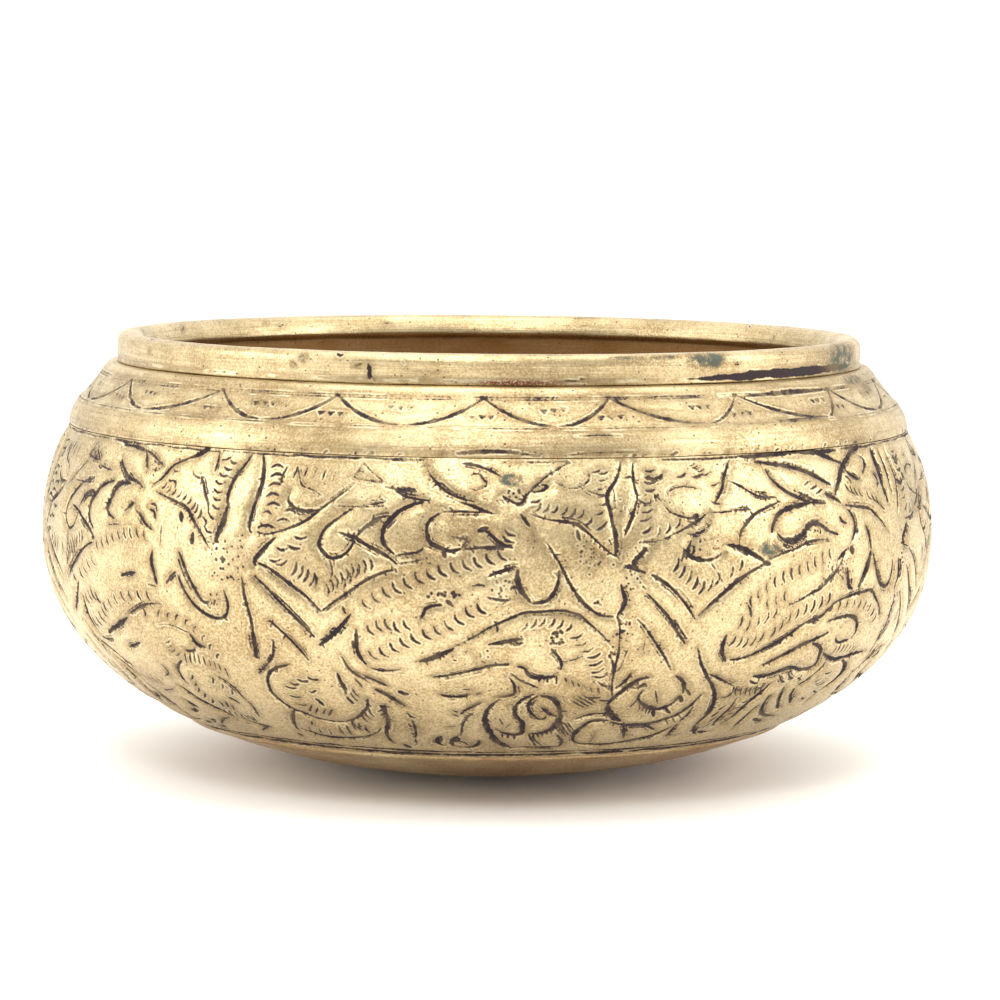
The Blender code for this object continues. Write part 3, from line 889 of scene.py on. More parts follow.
def right_upper():
    """The right repeat from its spear to the scrolled leaf at its far edge."""
    return [
        cut(0.38, (27.4, 10.3), (29, 10.4), (31, 10.2), (33, 10.1)),
        cut(0.65, (31.6, 0.5), (31, 2), (30.2, 3.8), (29.7, 5.8), (28.8, 7.6), (28.2, 8.8)),
        cut(0.40, (27.6, 8.2), (28.9, 8.9)),
        cut(0.40, (30.4, 4.3), (31.8, 5.4), (33.5, 7), (34.8, 7.9), (36, 8.1), (37.3, 8.3)),
        cut(0.28, (33.9, 6.8), (36, 7.3)),
        cut(0.45, (37.7, 9), (35.5, 10), (33.5, 11.2), (32, 13), (31.2, 14.5), (31.1, 16.5)),
        cut(0.60, (24.7, 15), (24, 17.6), (25, 18.6), (26.5, 19), (27.8, 18.7), (28.8, 17.7)),
        cut(0.90, (29, 16.3), (30.5, 16.7), (32, 17.6), (33.5, 18.8), (34.7, 19.9)),
        cut(0.90, (34.6, 20.2), (35.4, 20.4)),
        cut(0.65, (25.8, 29.3), (27.5, 27), (29, 25.2), (30.5, 23.5), (32.5, 21.8), (34.5, 20.5)),
        cut(0.42, (35, 19.6), (36.5, 19), (38, 18.4), (40, 17.8), (41.5, 17), (43.5, 16.8), (45.5, 16.9)),
        *ticks([(23.6, 16.8), (24.9, 16.2)], 3, (-0.5, 2.1), 0.42, -0.1),
        *ticks([(22.8, 18.4), (24, 20.2), (26.1, 22.7), (27.2, 22.4), (28.2, 21.4)], 7, (-0.7, 2.4), 0.45,
               -0.14),
        *ticks([(30, 20.4), (31.3, 19.3)], 2, (-0.35, 2), 0.42, -0.1),
        *ticks([(27.2, 19.8), (28.3, 22.4)], 3, (0.4, 0.9), 0.32, 0),
        *dots((25, 15), (28, 18), 10, 0.4, 21),
        cut(0.90, (34, 0.1), (37, -0.1), (40, -0.2), (42, -0.4), (44, -0.6), (46, -0.2), (48, 0.8), (50, 2),
            (51.5, 2.8)),
        cut(0.95, (35.5, 1), (37.5, 1.5), (39.5, 2), (41, 2.6), (43, 3.3), (44.5, 4.4), (46, 5.6),
            (47.5, 6.7)),
        cut(0.70, (36.8, 2.7), (37.2, 4.4), (38.3, 6.2), (39.5, 7.5), (41, 8.6), (43, 9.6), (45.6, 10.1)),
        cut(0.38, (40.3, 7.2), (42, 8.2), (44, 9.7)),
        *ticks([(43.6, 5.6), (45.4, 7.4)], 3, (-1.4, 0.8), 0.3, 0),
        cut(0.90, (43, 9.8), (41, 10), (39, 10.4), (37.5, 11.2), (36.5, 12.8), (36, 14.6)),
        cut(0.90, (36.9, 14.9), (37.5, 16), (38.7, 16.7), (40, 16.3), (41.2, 15.2), (42.1, 14), (43.3, 13.6),
            (44.4, 14.2),
            (45.5, 15.3), (47.3, 16.2)),
        *dots((36.6, 16.8), (39.4, 18.6), 14, 0.42, 22),
        *dots((42.6, 14.8), (44.4, 15.7), 7, 0.4, 23),
        cut(0.90, (45.8, 8.3), (46.8, 8.8), (48, 9.6), (48.8, 10.4)),
        cut(1.00, (48, 8.8), (48.4, 7.6), (49.4, 6.1), (50.4, 4.3), (51.6, 2.9), (53, 1.8), (54.5, 0.6),
            (56.5, 0.2)),
        cut(0.60, (48.8, 10.6), (51, 11.2), (53, 11.6), (54.8, 12.2), (56, 13.4), (57, 14.5), (58.5, 16.5)),
        cut(0.65, (49.8, 11.6), (50.6, 12.8), (50.9, 14.4), (50.8, 16), (50, 17.8)),
        cut(1.00, (49.7, 18.6), (49.9, 20.2)),
        cut(0.85, (49, 22.8), (49.3, 24.8), (49.6, 26.4), (50.5, 26.9)),
        cut(0.70, (53.2, 15.2), (53.9, 17), (54.2, 19), (54.3, 20)),
        cut(1.25, (54.2, 20.2), (53.6, 22.6), (52.8, 24.8), (51.7, 26.9)),
        cut(0.75, (54.7, 20.6), (55.3, 22.8), (56, 25), (57, 26.8), (58.5, 27.7), (59.5, 27.3), (60, 25.5),
            (60, 22.8)),
        cut(0.60, (47.6, 12.8), (48, 13.8), (48.9, 14.3)),
        cut(0.60, (50.8, 5.4), (51.4, 6), (51.5, 7)),
        *ticks([(50.2, 6.8), (51.4, 7.6), (52.7, 7.9)], 4, (0.8, 1.9), 0.5, 0.15),
        *ticks([(54.4, 8.8), (55.9, 9.7), (57.2, 11)], 4, (0.9, 1.8), 0.5, 0.15),
        cut(0.60, (51.5, 4.2), (52.3, 5.2), (53.5, 6.2), (54.3, 6)),
        cut(0.60, (56, 1.6), (56.8, 2.5), (56.3, 4), (55.2, 5.2)),
        cut(0.45, (57.3, 5.6), (58, 6.8), (57.4, 8.4)),
        cut(1.20, (59.8, 0.5), (59.5, 4), (59.4, 8), (59.8, 11.5)),
        cut(0.70, (61.9, 1), (61.8, 6), (61.6, 10)),
    ]


print("upper leaves:", len(right_upper()), "strokes")

# %% Right repeat: the feather leaf
def right_feather():
    """The right repeat's feather leaf, with the vein along its middle and an arch of scallops under it."""
    return [
        *ticks([(45.4, 18.6), (42.7, 19.7), (40, 21), (37, 22.2), (35, 23.7), (32.8, 26)], 11, (0.2, 2.2),
               0.46, 0.14),
        cut(0.50, (32.4, 27.6), (32.9, 28.8), (33.2, 30.2)),
        *ticks([(37.9, 25.8), (36.6, 26.4), (35.3, 26.9)], 3, (0.3, 2), 0.44, 0.14),
        *ticks([(45.7, 27.1), (42.6, 28.3), (39.7, 29.8), (38.3, 31.2), (37.2, 32.4)], 8, (-0.3, 2.3), 0.46,
               -0.16),
        *ticks([(36.9, 28.4), (34.7, 29.9), (33.5, 30.8), (31.8, 29.9)], 5, (-0.4, 2.5), 0.46, -0.16),
        *ticks([(35.6, 33.6), (33.6, 34.4), (31.4, 33.7)], 5, (-0.6, 2.1), 0.46, -0.16),
        cut(0.45, (38.8, 28.4), (40.5, 27.9), (42, 26.8), (44, 25.9), (45.5, 24.2), (47, 22.6), (49, 19)),
        *ticks([(38.8, 28), (41.8, 26.8), (45, 24.4)], 9, (0.1, 0.5), 0.34, 0),
        cut(0.60, (47, 21.3), (48, 20), (49.2, 19)),
        *dots((44, 20.8), (49.4, 25.4), 46, 0.36, 24),
        cut(0.95, (30.2, 33.5), (30, 35.5), (30.2, 37.4), (31.2, 39.5)),
        cut(0.70, (31.8, 39.2), (33.5, 39.2), (35, 38.5), (36.5, 37.5), (38.3, 36.2), (40, 34.9),
            (41.5, 33.4), (43, 32.3)),
        cut(0.90, (42.6, 32.6), (44, 32.2), (45.4, 31.4)),
        cut(0.65, (45, 31.7), (46.2, 30.4), (47.4, 29.2), (49, 28.6), (51.3, 28.1), (53, 28), (55, 27.9),
            (56.5, 29.6),
            (58, 31.5), (59, 33.7)),
        *ticks([(46.9, 29.2), (49.7, 28.9), (51.8, 29.2), (53.4, 29.5), (55.5, 30.6), (57.6, 33)], 9,
               (-0.5, 1.7), 0.5, -0.14),
        cut(0.90, (46.8, 33), (48.5, 32.6), (50.5, 32.4), (52, 32.8), (53, 33.6), (53.8, 35), (54.2, 36.8),
            (53.6, 37.8)),
        cut(0.70, (53, 37.9), (51, 38.3), (50.2, 37.8), (49.7, 36.7)),
        *ticks([(50.8, 38.9), (53, 39), (56.2, 39.9)], 7, (-0.3, 1.9), 0.45, 0),
        cut(0.95, (37.5, 41.3), (38.7, 40.4), (40.3, 39.4), (42, 38.3), (43.8, 37.2), (45.6, 36.5),
            (47.6, 35.4)),
    ]


print("feather leaf:", len(right_feather()), "strokes")

# %% Right repeat: the lower leaves
def right_lower():
    """The right repeat's scrolls and pods."""
    return [
        cut(0.70, (26.4, 35.6), (27, 37.5), (27.6, 39.5), (28.6, 41.5), (29.8, 43.8), (31, 45.8),
            (32.2, 48.5), (33, 51),
            (33.5, 54)),
        cut(0.55, (29.4, 42.3), (31, 43.5), (32.7, 44.9), (34.5, 46.3)),
        cut(0.95, (31, 45.6), (32, 48), (32.8, 50.5), (33.4, 53.5), (33.3, 56), (33, 58.5)),
        cut(0.45, (33.4, 48.9), (34.2, 49), (34.7, 47.6), (34.6, 46.4)),
        cut(0.60, (29.4, 57.5), (29.5, 60.5), (29.9, 62.6), (30.8, 63)),
        cut(1.10, (33, 59), (34, 61), (35, 63)),
        cut(0.90, (35, 61.8), (36.5, 62.8), (38.2, 63)),
        cut(0.95, (45.2, 37.5), (46.3, 38), (47.4, 39), (48, 41), (48.2, 42.8), (47.4, 43.7), (45.6, 43.9),
            (44.6, 43.5)),
        cut(1.10, (45.6, 43.9), (44.6, 43.5), (43.6, 42.8), (42, 43), (40.5, 43.8), (38.5, 44.2), (37, 44)),
        *ticks([(35, 46.2), (38, 46.5), (39.3, 45.8)], 6, (0.8, 2.8), 0.42, 0.1),
        cut(0.45, (36.6, 44.9), (37.5, 45.6), (38.3, 45.8)),
        *ticks([(41.6, 44.4), (43, 43.8)], 2, (1.9, 2), 0.45, 0.1),
        cut(1.00, (48.6, 40.4), (50, 41.4), (52, 42.5), (54, 42.6), (57, 42.3), (60, 42.2)),
        cut(0.85, (41, 46.5), (40.3, 49), (39.5, 52), (39.3, 55), (39.2, 57.5), (38.6, 60.5)),
        cut(0.95, (42.8, 50.5), (43.5, 53.5), (44.8, 56), (46.4, 58), (49, 59.4), (51, 59.8)),
        cut(0.80, (42.3, 53.5), (42.4, 57), (42.6, 60), (43.2, 62.5)),
        cut(0.75, (44.7, 48.5), (45.8, 51.5), (47.2, 54.3), (49, 56.6)),
        cut(0.90, (45.5, 59.5), (47.5, 61), (49.4, 61.8)),
        cut(0.85, (50.4, 42.8), (50.4, 44.6), (49.2, 46.8), (47.7, 48.6)),
        cut(0.80, (47.5, 49.5), (48.3, 51.8), (49.8, 53.8), (50.6, 55)),
        cut(1.15, (54.8, 43.3), (56.6, 44.8), (57.8, 46.6), (58.2, 48.6), (57.2, 51), (56, 53.5), (55.4, 56)),
        *ticks([(50.9, 47.9), (51.6, 48.8), (52.7, 49.6)], 3, (1.6, -0.8), 0.55, 0.15),
        cut(0.55, (52, 46), (53, 46.1), (53.6, 45.6)),
        *ticks([(53.4, 51.2), (51.8, 53)], 2, (1.6, 1), 0.55, 0.1),
        *ticks([(39, 51.2), (38.6, 54), (38.6, 57)], 4, (-1.1, 0.2), 0.42, 0),
        *ticks([(35.2, 51.5), (35, 53.8), (35.4, 56.2), (35.4, 58)], 4, (-0.6, 1.8), 0.5, 0),
        cut(0.70, (36.6, 50.2), (36.9, 53.4), (36.6, 57), (37, 60.4)),
        *dots((46, 45.4), (48.6, 48), 10, 0.5, 25),
    ]


print("lower leaves:", len(right_lower()), "strokes")

# %% Left repeat: the upper leaves


def left_upper():
    """The left repeat's lobe, crossing, fan and spear."""
    return [
        cut(0.50, (-54, 0.7), (-51, 0.6), (-48.8, 1.1), (-46.8, 2), (-45.3, 3.1), (-44.2, 3.9)),
        cut(0.90, (-51.5, 0.6), (-49, 1.2)),
        cut(0.70, (-48.8, 1.3), (-48, 2.6), (-47.6, 3.8), (-47.1, 4.6)),
        *dots((-46.9, 3), (-44.5, 6), 20, 0.36, 31),
        cut(0.60, (-53.3, 3.5), (-52.2, 5), (-51, 6.3), (-50, 7), (-48.5, 7.4), (-47.4, 8), (-46.9, 8.5)),
        cut(0.28, (-50.2, 6), (-49.2, 6.7)),
        cut(0.85, (-49.5, 8), (-51, 8.1), (-52.2, 9), (-52.9, 10.8), (-53.4, 12.5), (-53.5, 13.6),
            (-53, 14.4), (-51.8, 15)),
        cut(0.70, (-47.9, 11.4), (-48.8, 12.3), (-49.7, 13.3)),
        cut(0.60, (-47.4, 12.9), (-46.5, 13.6), (-45.6, 14.8), (-44.8, 15.6), (-43.9, 16.1)),
        cut(0.35, (-52.6, 16.3), (-51.5, 16.1), (-50.2, 15.9)),
        cut(0.60, (-44.7, 11.3), (-43.7, 11.4), (-43.4, 12.6)),
        cut(0.60, (-45, 12.3), (-44, 12.7), (-43.6, 14)),
        cut(0.60, (-45.2, 7.5), (-44, 6.4), (-43.3, 5), (-42.6, 3.5), (-41, 2.2), (-39.6, 1.3)),
        cut(0.95, (-40.2, 1.6), (-39.2, 1.1), (-38.3, 0.4), (-37, -0.6)),
        cut(0.52, (-44.3, 8.9), (-42.5, 9.6), (-40.5, 10.4), (-39, 11), (-38.3, 11.6), (-37.3, 13.4),
            (-36.2, 15.2),
            (-35.3, 16.8), (-34.5, 18.4)),
        *ticks([(-43.4, 8.3), (-42.2, 9), (-41.3, 9.3), (-39.8, 9.9), (-38.8, 10.5), (-37.9, 11.6)], 7,
               (0.8, -1.4), 0.42, 0.2),
        *ticks([(-37.2, 12.3), (-36.5, 13.2)], 2, (0.5, -1.8), 0.42, 0.2),
        cut(0.40, (-35.6, 12.8), (-35, 13.6), (-35.3, 14.5)),
        *ticks([(-42.6, 6.2), (-42.2, 4.3)], 2, (1, 0.3), 0.42, 0.2),
        cut(0.42, (-41.9, 6.5), (-41.1, 6.8), (-41, 7.8)),
        cut(0.42, (-38.7, 4.8), (-37.8, 5.4), (-36.9, 5.7), (-36.5, 6.5), (-35.8, 8.5), (-35.1, 10.2),
            (-34.8, 12)),
        cut(0.45, (-34.9, 1.6), (-34, 1.5), (-33.1, 0.5)),
        *ticks([(-33.4, 1.6), (-34.6, 4.8), (-34.6, 8), (-34.4, 10.4)], 7, (1.3, 0.5), 0.45, 0.2),
        *ticks([(-34.7, 12.1), (-35.2, 14.6)], 2, (1.2, 0.9), 0.42, 0.2),
        cut(0.50, (-35.6, 0.3), (-35.4, 2.2), (-35.4, 4)),
        cut(0.70, (-30.5, 0.3), (-31.1, 2), (-31.8, 4), (-32.4, 6.5), (-32.5, 9), (-32.2, 11)),
        cut(1.25, (-32.3, 10), (-32.7, 13.5), (-33.3, 15.5), (-33.6, 17.2)),
        cut(0.75, (-28.8, 0.3), (-28.3, 2.5), (-28, 5), (-28.2, 7.5), (-28.6, 10), (-28.8, 12), (-29, 13.8),
            (-28.6, 15)),
        *ticks([(-27.2, 2.6), (-26.9, 4.4), (-27, 7.8), (-26.7, 9.8)], 5, (1.7, -0.2), 0.50, -0.22),
        cut(0.45, (-27.2, 11.2), (-26.5, 10.8), (-25.8, 11.5)),
        cut(0.45, (-24.3, 10.6), (-23.5, 10.2), (-22.8, 10.8)),
        cut(0.45, (-25.2, 12.5), (-24.3, 12), (-23.5, 12.4)),
        cut(0.50, (-27.6, 13.9), (-26.4, 13.3), (-25.3, 13.8)),
        cut(0.35, (-24.9, 2.2), (-25.3, 4.2), (-25.4, 6)),
        cut(0.60, (-23.8, 6.8), (-24.2, 8), (-23.7, 9.3), (-22.5, 10.2), (-21, 10.3), (-20, 10)),
        cut(0.35, (-23.3, 2.7), (-22.9, 4.5), (-22.4, 5.8), (-20.9, 6.4), (-19.8, 7.4)),
        *ticks([(-23.5, 2.2), (-21.1, 2.1), (-18.4, 2.7)], 5, (-0.3, 2.2), 0.42, 0),
        cut(0.45, (-27.8, 14.7), (-26.5, 15), (-25.2, 14.5), (-23.2, 13.4), (-21.8, 12.4), (-20.5, 11),
            (-19.5, 9.5)),
        cut(0.95, (-25.2, 15.4), (-26.2, 16.8), (-27, 18.2), (-28, 20), (-27.7, 21)),
        cut(0.42, (-22.8, 15), (-21.9, 15.5), (-21, 15)),
        cut(0.50, (-23.5, 16.7), (-22.8, 17.3), (-21.9, 17.2)),
        cut(0.50, (-25, 17.2), (-24.2, 17.8), (-23.4, 17.2)),
        cut(0.50, (-25.9, 19.6), (-25.1, 19.9), (-24.3, 19.3)),
        cut(0.45, (-25, 20.4), (-24.2, 20.4), (-23.5, 19.5)),
        *ticks([(-22.3, 19.8), (-21.5, 20.3), (-20, 21.5)], 4, (-0.7, 2.5), 0.46, -0.14),
        *dots((-34, 15.5), (-29.2, 24), 44, 0.40, 32),
    ]


print("upper leaves:", len(left_upper()), "strokes")

# %% Left repeat: the stems
def left_stems():
    """The left repeat's stems, petals and the rows of scallops beside them."""
    return [
        cut(0.70, (-27.8, 20.2), (-26, 21.2), (-24.5, 22.6), (-22.8, 24.3), (-21.2, 26), (-19.4, 28.6)),
        cut(0.65, (-28, 22.8), (-26.8, 24.2), (-25.5, 26), (-24.2, 28), (-23, 29.8), (-21.8, 31.6),
            (-20.6, 33.7)),
        cut(0.40, (-25.6, 25.4), (-23.8, 27.6), (-22.4, 29.8), (-20.9, 32.3)),
        cut(0.50, (-26.2, 31), (-25, 32.8), (-23.8, 34.8), (-22.9, 36.6), (-22, 39)),
        cut(0.60, (-29.7, 23.2), (-29.5, 26), (-29.2, 28.5), (-28.9, 31), (-28.9, 34)),
        cut(0.95, (-28.9, 33.6), (-29.1, 36.5), (-29.4, 39.5)),
        cut(0.40, (-26, 34.8), (-26.3, 36.6), (-26.8, 38.6), (-28.3, 41), (-29.8, 43)),
        cut(0.95, (-43.8, 20), (-44, 22), (-43.6, 24), (-43.2, 26.4)),
        cut(0.35, (-44.6, 26.4), (-43.2, 26.8)),
        cut(0.60, (-39.2, 19.6), (-38.5, 21.5), (-37.9, 23.5), (-37, 25.8), (-36.2, 27.8), (-35.5, 28.8),
            (-34.7, 28.5)),
        cut(0.70, (-39.4, 24), (-38.8, 26), (-38, 28), (-36.9, 29.8), (-35.6, 31), (-34, 31.7), (-32.7, 31.2),
            (-32.1, 29.8), (-32, 28), (-32.4, 26)),
        cut(0.50, (-39.7, 23.4), (-40.5, 24.5), (-41.4, 26)),
        cut(0.85, (-37, 15.8), (-37, 18)),
        cut(0.85, (-39.3, 12.2), (-38.9, 14)),
        cut(0.30, (-42.2, 15), (-42.1, 18.5)),
        *ticks([(-45.3, 16.3), (-46.3, 16.1), (-49.6, 16.6), (-52.6, 18.1), (-55.3, 19.5)], 9, (0.55, 1.9),
               0.44, 0.16),
        *ticks([(-45, 27.8), (-47.3, 28), (-50.4, 28.7), (-52.9, 30.2), (-55.1, 31.8)], 7, (0.55, 1.8), 0.44,
               0.16),
        cut(0.60, (-50, 25.7), (-48.5, 25), (-47, 24.6)),
        cut(0.36, (-50.6, 34), (-48.5, 32.4), (-46.5, 31), (-44.5, 30.2), (-42.5, 30)),
        cut(0.20, (-44.5, 34.6), (-42, 34), (-39.5, 35), (-38, 36.8), (-37, 39.4)),
        cut(0.95, (-57, 38.7), (-54.8, 37.2), (-53, 36.2), (-51.5, 35), (-50.3, 34)),
        cut(0.45, (-46.3, 31.2), (-46, 32.1), (-46.2, 33)),
        *ticks([(-42.9, 31.2), (-39.7, 31.7), (-38.2, 32.6), (-36.3, 35.2), (-34.9, 39.2)], 8, (-0.7, 1.4),
               0.42, 0.16),
        cut(0.95, (-39, 35.8), (-38.6, 37), (-38.2, 38.1), (-37, 38.3)),
        cut(0.60, (-38.9, 38.7), (-39.6, 39.7), (-41, 39.8)),
        *ticks([(-41.2, 40.2), (-39, 40), (-36.3, 41)], 7, (-0.35, 2.3), 0.46, 0),
        *ticks([(-35.8, 41.5), (-35, 42.6)], 2, (-0.1, 2.3), 0.42, 0),
        *ticks([(-43.9, 38.3), (-44, 39.4), (-43.9, 40.2), (-43.2, 41.2)], 4, (1.3, -1), 0.42, 0.1),
        cut(0.52, (-53.4, 41.4), (-51.5, 40.5), (-49.8, 39.6)),
        *dots((-34.6, 26.8), (-33, 30.4), 10, 0.36, 33),
    ]


print("stems:", len(left_stems()), "strokes")

# %% Left repeat: the lower leaves
def left_lower():
    """The left repeat's scroll, rosette and pods."""
    return [
        cut(0.60, (-42.6, 42.4), (-43.6, 43.5), (-44.5, 45), (-44.8, 47), (-44.9, 49)),
        cut(1.00, (-47.3, 50.2), (-46.3, 52), (-45.3, 54), (-44, 55.8), (-42.5, 57.6), (-41.2, 59.3)),
        *ticks([(-42.8, 47.2), (-43, 49), (-43.4, 51), (-43, 52.8), (-42.5, 54.2)], 5, (1.1, -1.8), 0.48,
               0.1),
        cut(0.48, (-40.8, 55), (-40.3, 54), (-40.5, 53)),
        *ticks([(-38.9, 52.6), (-38.2, 53.3)], 2, (-0.6, 2.2), 0.46, 0),
        *ticks([(-38.8, 47.3), (-37.4, 48.8), (-36.5, 50)], 3, (0.7, -1.7), 0.46, 0.1),
        cut(0.80, (-37.5, 51), (-36.8, 51.8), (-36.4, 53)),
        cut(0.45, (-37, 45), (-35.8, 46.2), (-35, 48), (-34.7, 50.5), (-34.2, 53.5), (-34.8, 57)),
        *ticks([(-38.4, 56.8), (-36.4, 57)], 4, (-0.15, 2.6), 0.34, 0),
        cut(0.70, (-40, 59.5), (-38.5, 60.5), (-37, 61.6), (-35.2, 62)),
        cut(0.75, (-25, 40.4), (-27, 41.5), (-28.4, 43.2), (-29.1, 45.3), (-29.4, 47.8), (-29, 49.8),
            (-28.2, 51.6),
            (-27.3, 53.2), (-26, 54), (-24.8, 55.6), (-23.2, 56.3), (-21.5, 56.5), (-19.9, 56.3)),
        *ticks([(-25.6, 44.6), (-24.2, 43.6), (-22.6, 42.9)], 3, (1.4, 0.2), 0.48, 0.2),
        *ticks([(-26.4, 45.7), (-26.4, 48.2), (-26.1, 50.6)], 3, (1.6, 0.2), 0.48, 0.15),
        cut(0.45, (-23.3, 46.6), (-22.8, 46.9), (-22.2, 46.2)),
        *ticks([(-23.8, 50.7), (-22.2, 51.3), (-21, 51.5)], 4, (-1, 2.3), 0.46, 0),
        cut(0.90, (-22.7, 48.5), (-22.3, 49.4), (-22, 50.5)),
        cut(0.70, (-27.4, 53.5), (-28.3, 55.5), (-29.2, 58), (-29.8, 60.5), (-30, 62.5)),
        cut(0.95, (-29.5, 61), (-27.9, 61.8), (-26.5, 63.2), (-24.8, 63.7), (-23, 63.6), (-20.8, 63.3),
            (-19, 62.4)),
        *ticks([(-28.6, 59.2), (-26.4, 58.9), (-23.6, 59.3)], 4, (-0.3, 2.3), 0.36, 0),
        *ticks([(-21.6, 57.5), (-20.3, 57.4)], 2, (-0.1, 3.6), 0.36, 0),
        cut(0.40, (-25.5, 56.5), (-26, 58)),
        cut(0.90, (-30.6, 63.5), (-30.2, 64.3)),
        *ticks([(-42.3, 55.8), (-39.5, 56.6), (-36.6, 58.2)], 7, (-0.3, 1.9), 0.34, 0.1),
        *ticks([(-56.2, 48.4), (-54, 48.6), (-51.4, 49.2)], 5, (0.3, 1.6), 0.36, 0.1),
        cut(0.45, (-47.6, 44), (-46.8, 45.4), (-47.2, 46.6), (-48.5, 47.6)),
        cut(0.60, (-58.4, 44.6), (-57.2, 46), (-56.2, 47.4)),
        cut(0.80, (-59.9, 47.6), (-59.4, 49), (-59.2, 50.6)),
        cut(0.90, (-59.4, 57.4), (-58.5, 56.4), (-57.8, 55.2)),
        cut(0.60, (-58, 59.9), (-56.8, 59.5), (-55.4, 58.7)),
        cut(0.55, (-57.6, 65.8), (-56, 65.4), (-54.4, 64.6)),
        cut(0.70, (-55.2, 66.8), (-53.8, 66), (-52.2, 65.2)),
        cut(0.60, (-51.2, 64.6), (-49.8, 63.6), (-48.4, 63)),
        cut(0.45, (-51, 67.2), (-49.6, 66.4), (-48.6, 65.6)),
        cut(0.35, (-48, 63.8), (-46.2, 62.6), (-44.4, 60.8), (-42.6, 59.8)),
        cut(0.50, (-38.2, 64), (-36.6, 62.6), (-34.8, 61)),
        cut(0.30, (-52.5, 52.8), (-50.6, 52.2), (-49.2, 51.4)),
        cut(0.30, (-56.4, 51.8), (-55.8, 53.6), (-55.8, 55.4)),
        cut(1.10, (-50, 55.5), (-49.4, 56.8), (-48.7, 58)),
        cut(0.80, (-52.3, 61), (-51.2, 60.2), (-50.3, 59)),
        cut(0.70, (-18.5, 41.5), (-18.4, 43.5), (-18.1, 45.5), (-18.3, 47.5)),
        cut(0.60, (-18.2, 47.8), (-17.5, 49.5)),
        cut(0.52, (-15.4, 48), (-15.8, 50.5), (-16.8, 52.5), (-18, 54.5), (-19.9, 56.2)),
        *ticks([(-17, 45), (-17.4, 46.3)], 2, (0.6, 2.3), 0.42, 0.1),
        *ticks([(-15.7, 51), (-16.2, 51.4), (-17.1, 53)], 3, (0.45, 2.3), 0.42, 0.1),
        *ticks([(-19, 55.5), (-17.2, 56.8)], 3, (0, 3), 0.42, 0.1),
        cut(0.45, (-15, 57.5), (-15.8, 59.3), (-17.3, 60.8), (-18.6, 62), (-20, 63.4)),
    ]


print("all three repeats are drawn")

# %% [markdown]
# ## The bellied wall
# The wall is by far the most detailed surface, so it is made as eight panels of 45 degrees that
# share their edge points. Their normals come from the whole ring, and so the joins do not show.

# %% The eight repeats round the bowl
REPEATS = 8
PANEL_COLUMNS = 288
COLUMNS = PANEL_COLUMNS * REPEATS
RAISED = 0.27
REPEAT_DEGREES = 46.0
HOMES = {"middle": 3.0, "left": -43.0, "right": 49.0}
DRAWN_END = 71.0
DRAWN_DEGREES = 139.0
COPIES = REPEATS - 3
BELLY_ANGLES = np.linspace(WALL_TOP + RAISED, WALL_BOTTOM, 900)
WALL_SKIN = even(belly(BELLY_ANGLES, 0.05), 0.245)
WALL_ROWS = running_length(WALL_SKIN) - RAISED * 1.55
WALL_LENGTH = WALL_ROWS[-1]


def within(strokes, low, high):
    """Those strokes whose middle lies between two angles."""
    return [stroke for stroke in strokes if low <= stroke[0][:, 0].mean() < high]


def drawn_repeats():
    """The middle, right and left repeats in their own places, and the parts of the outer two that lie
    round the bowl's side, which are taken from the middle one."""
    middle = middle_lobes() + middle_feather() + middle_petals() + middle_fan() + middle_spear()
    middle += middle_curl() + middle_stems() + middle_scrolls() + middle_bottom()
    right = right_upper() + right_feather() + right_lower()
    left = left_upper() + left_stems() + left_lower()
    right += within(moved(middle, REPEAT_DEGREES), 61.5, 72.0)
    left += within(moved(middle, -REPEAT_DEGREES), -68.0, -55.5)
    return left, middle, right


def whole_frieze():
    """All eight repeats: three as drawn, five copied round the back with an unsteady hand."""
    left, middle, right = drawn_repeats()
    strokes = left + middle + right
    sources = [(middle, HOMES["middle"]), (left, HOMES["left"]), (right, HOMES["right"])]
    pace = (360.0 - DRAWN_DEGREES) / COPIES
    for turn in range(COPIES):
        centre = DRAWN_END + pace * (turn + 0.5)
        source, home = sources[turn % 3]
        strokes += moved(source, centre - home, pace / REPEAT_DEGREES, home, 0.12, 50 + turn)
    return strokes + slips(strokes, 81)


print(REPEATS, "repeats,", COPIES, "of them copied")

# %% The lines along both borders
SEAM_DRAWN_END = 52.0
FOOT_LINES = (68.7, 70.2)


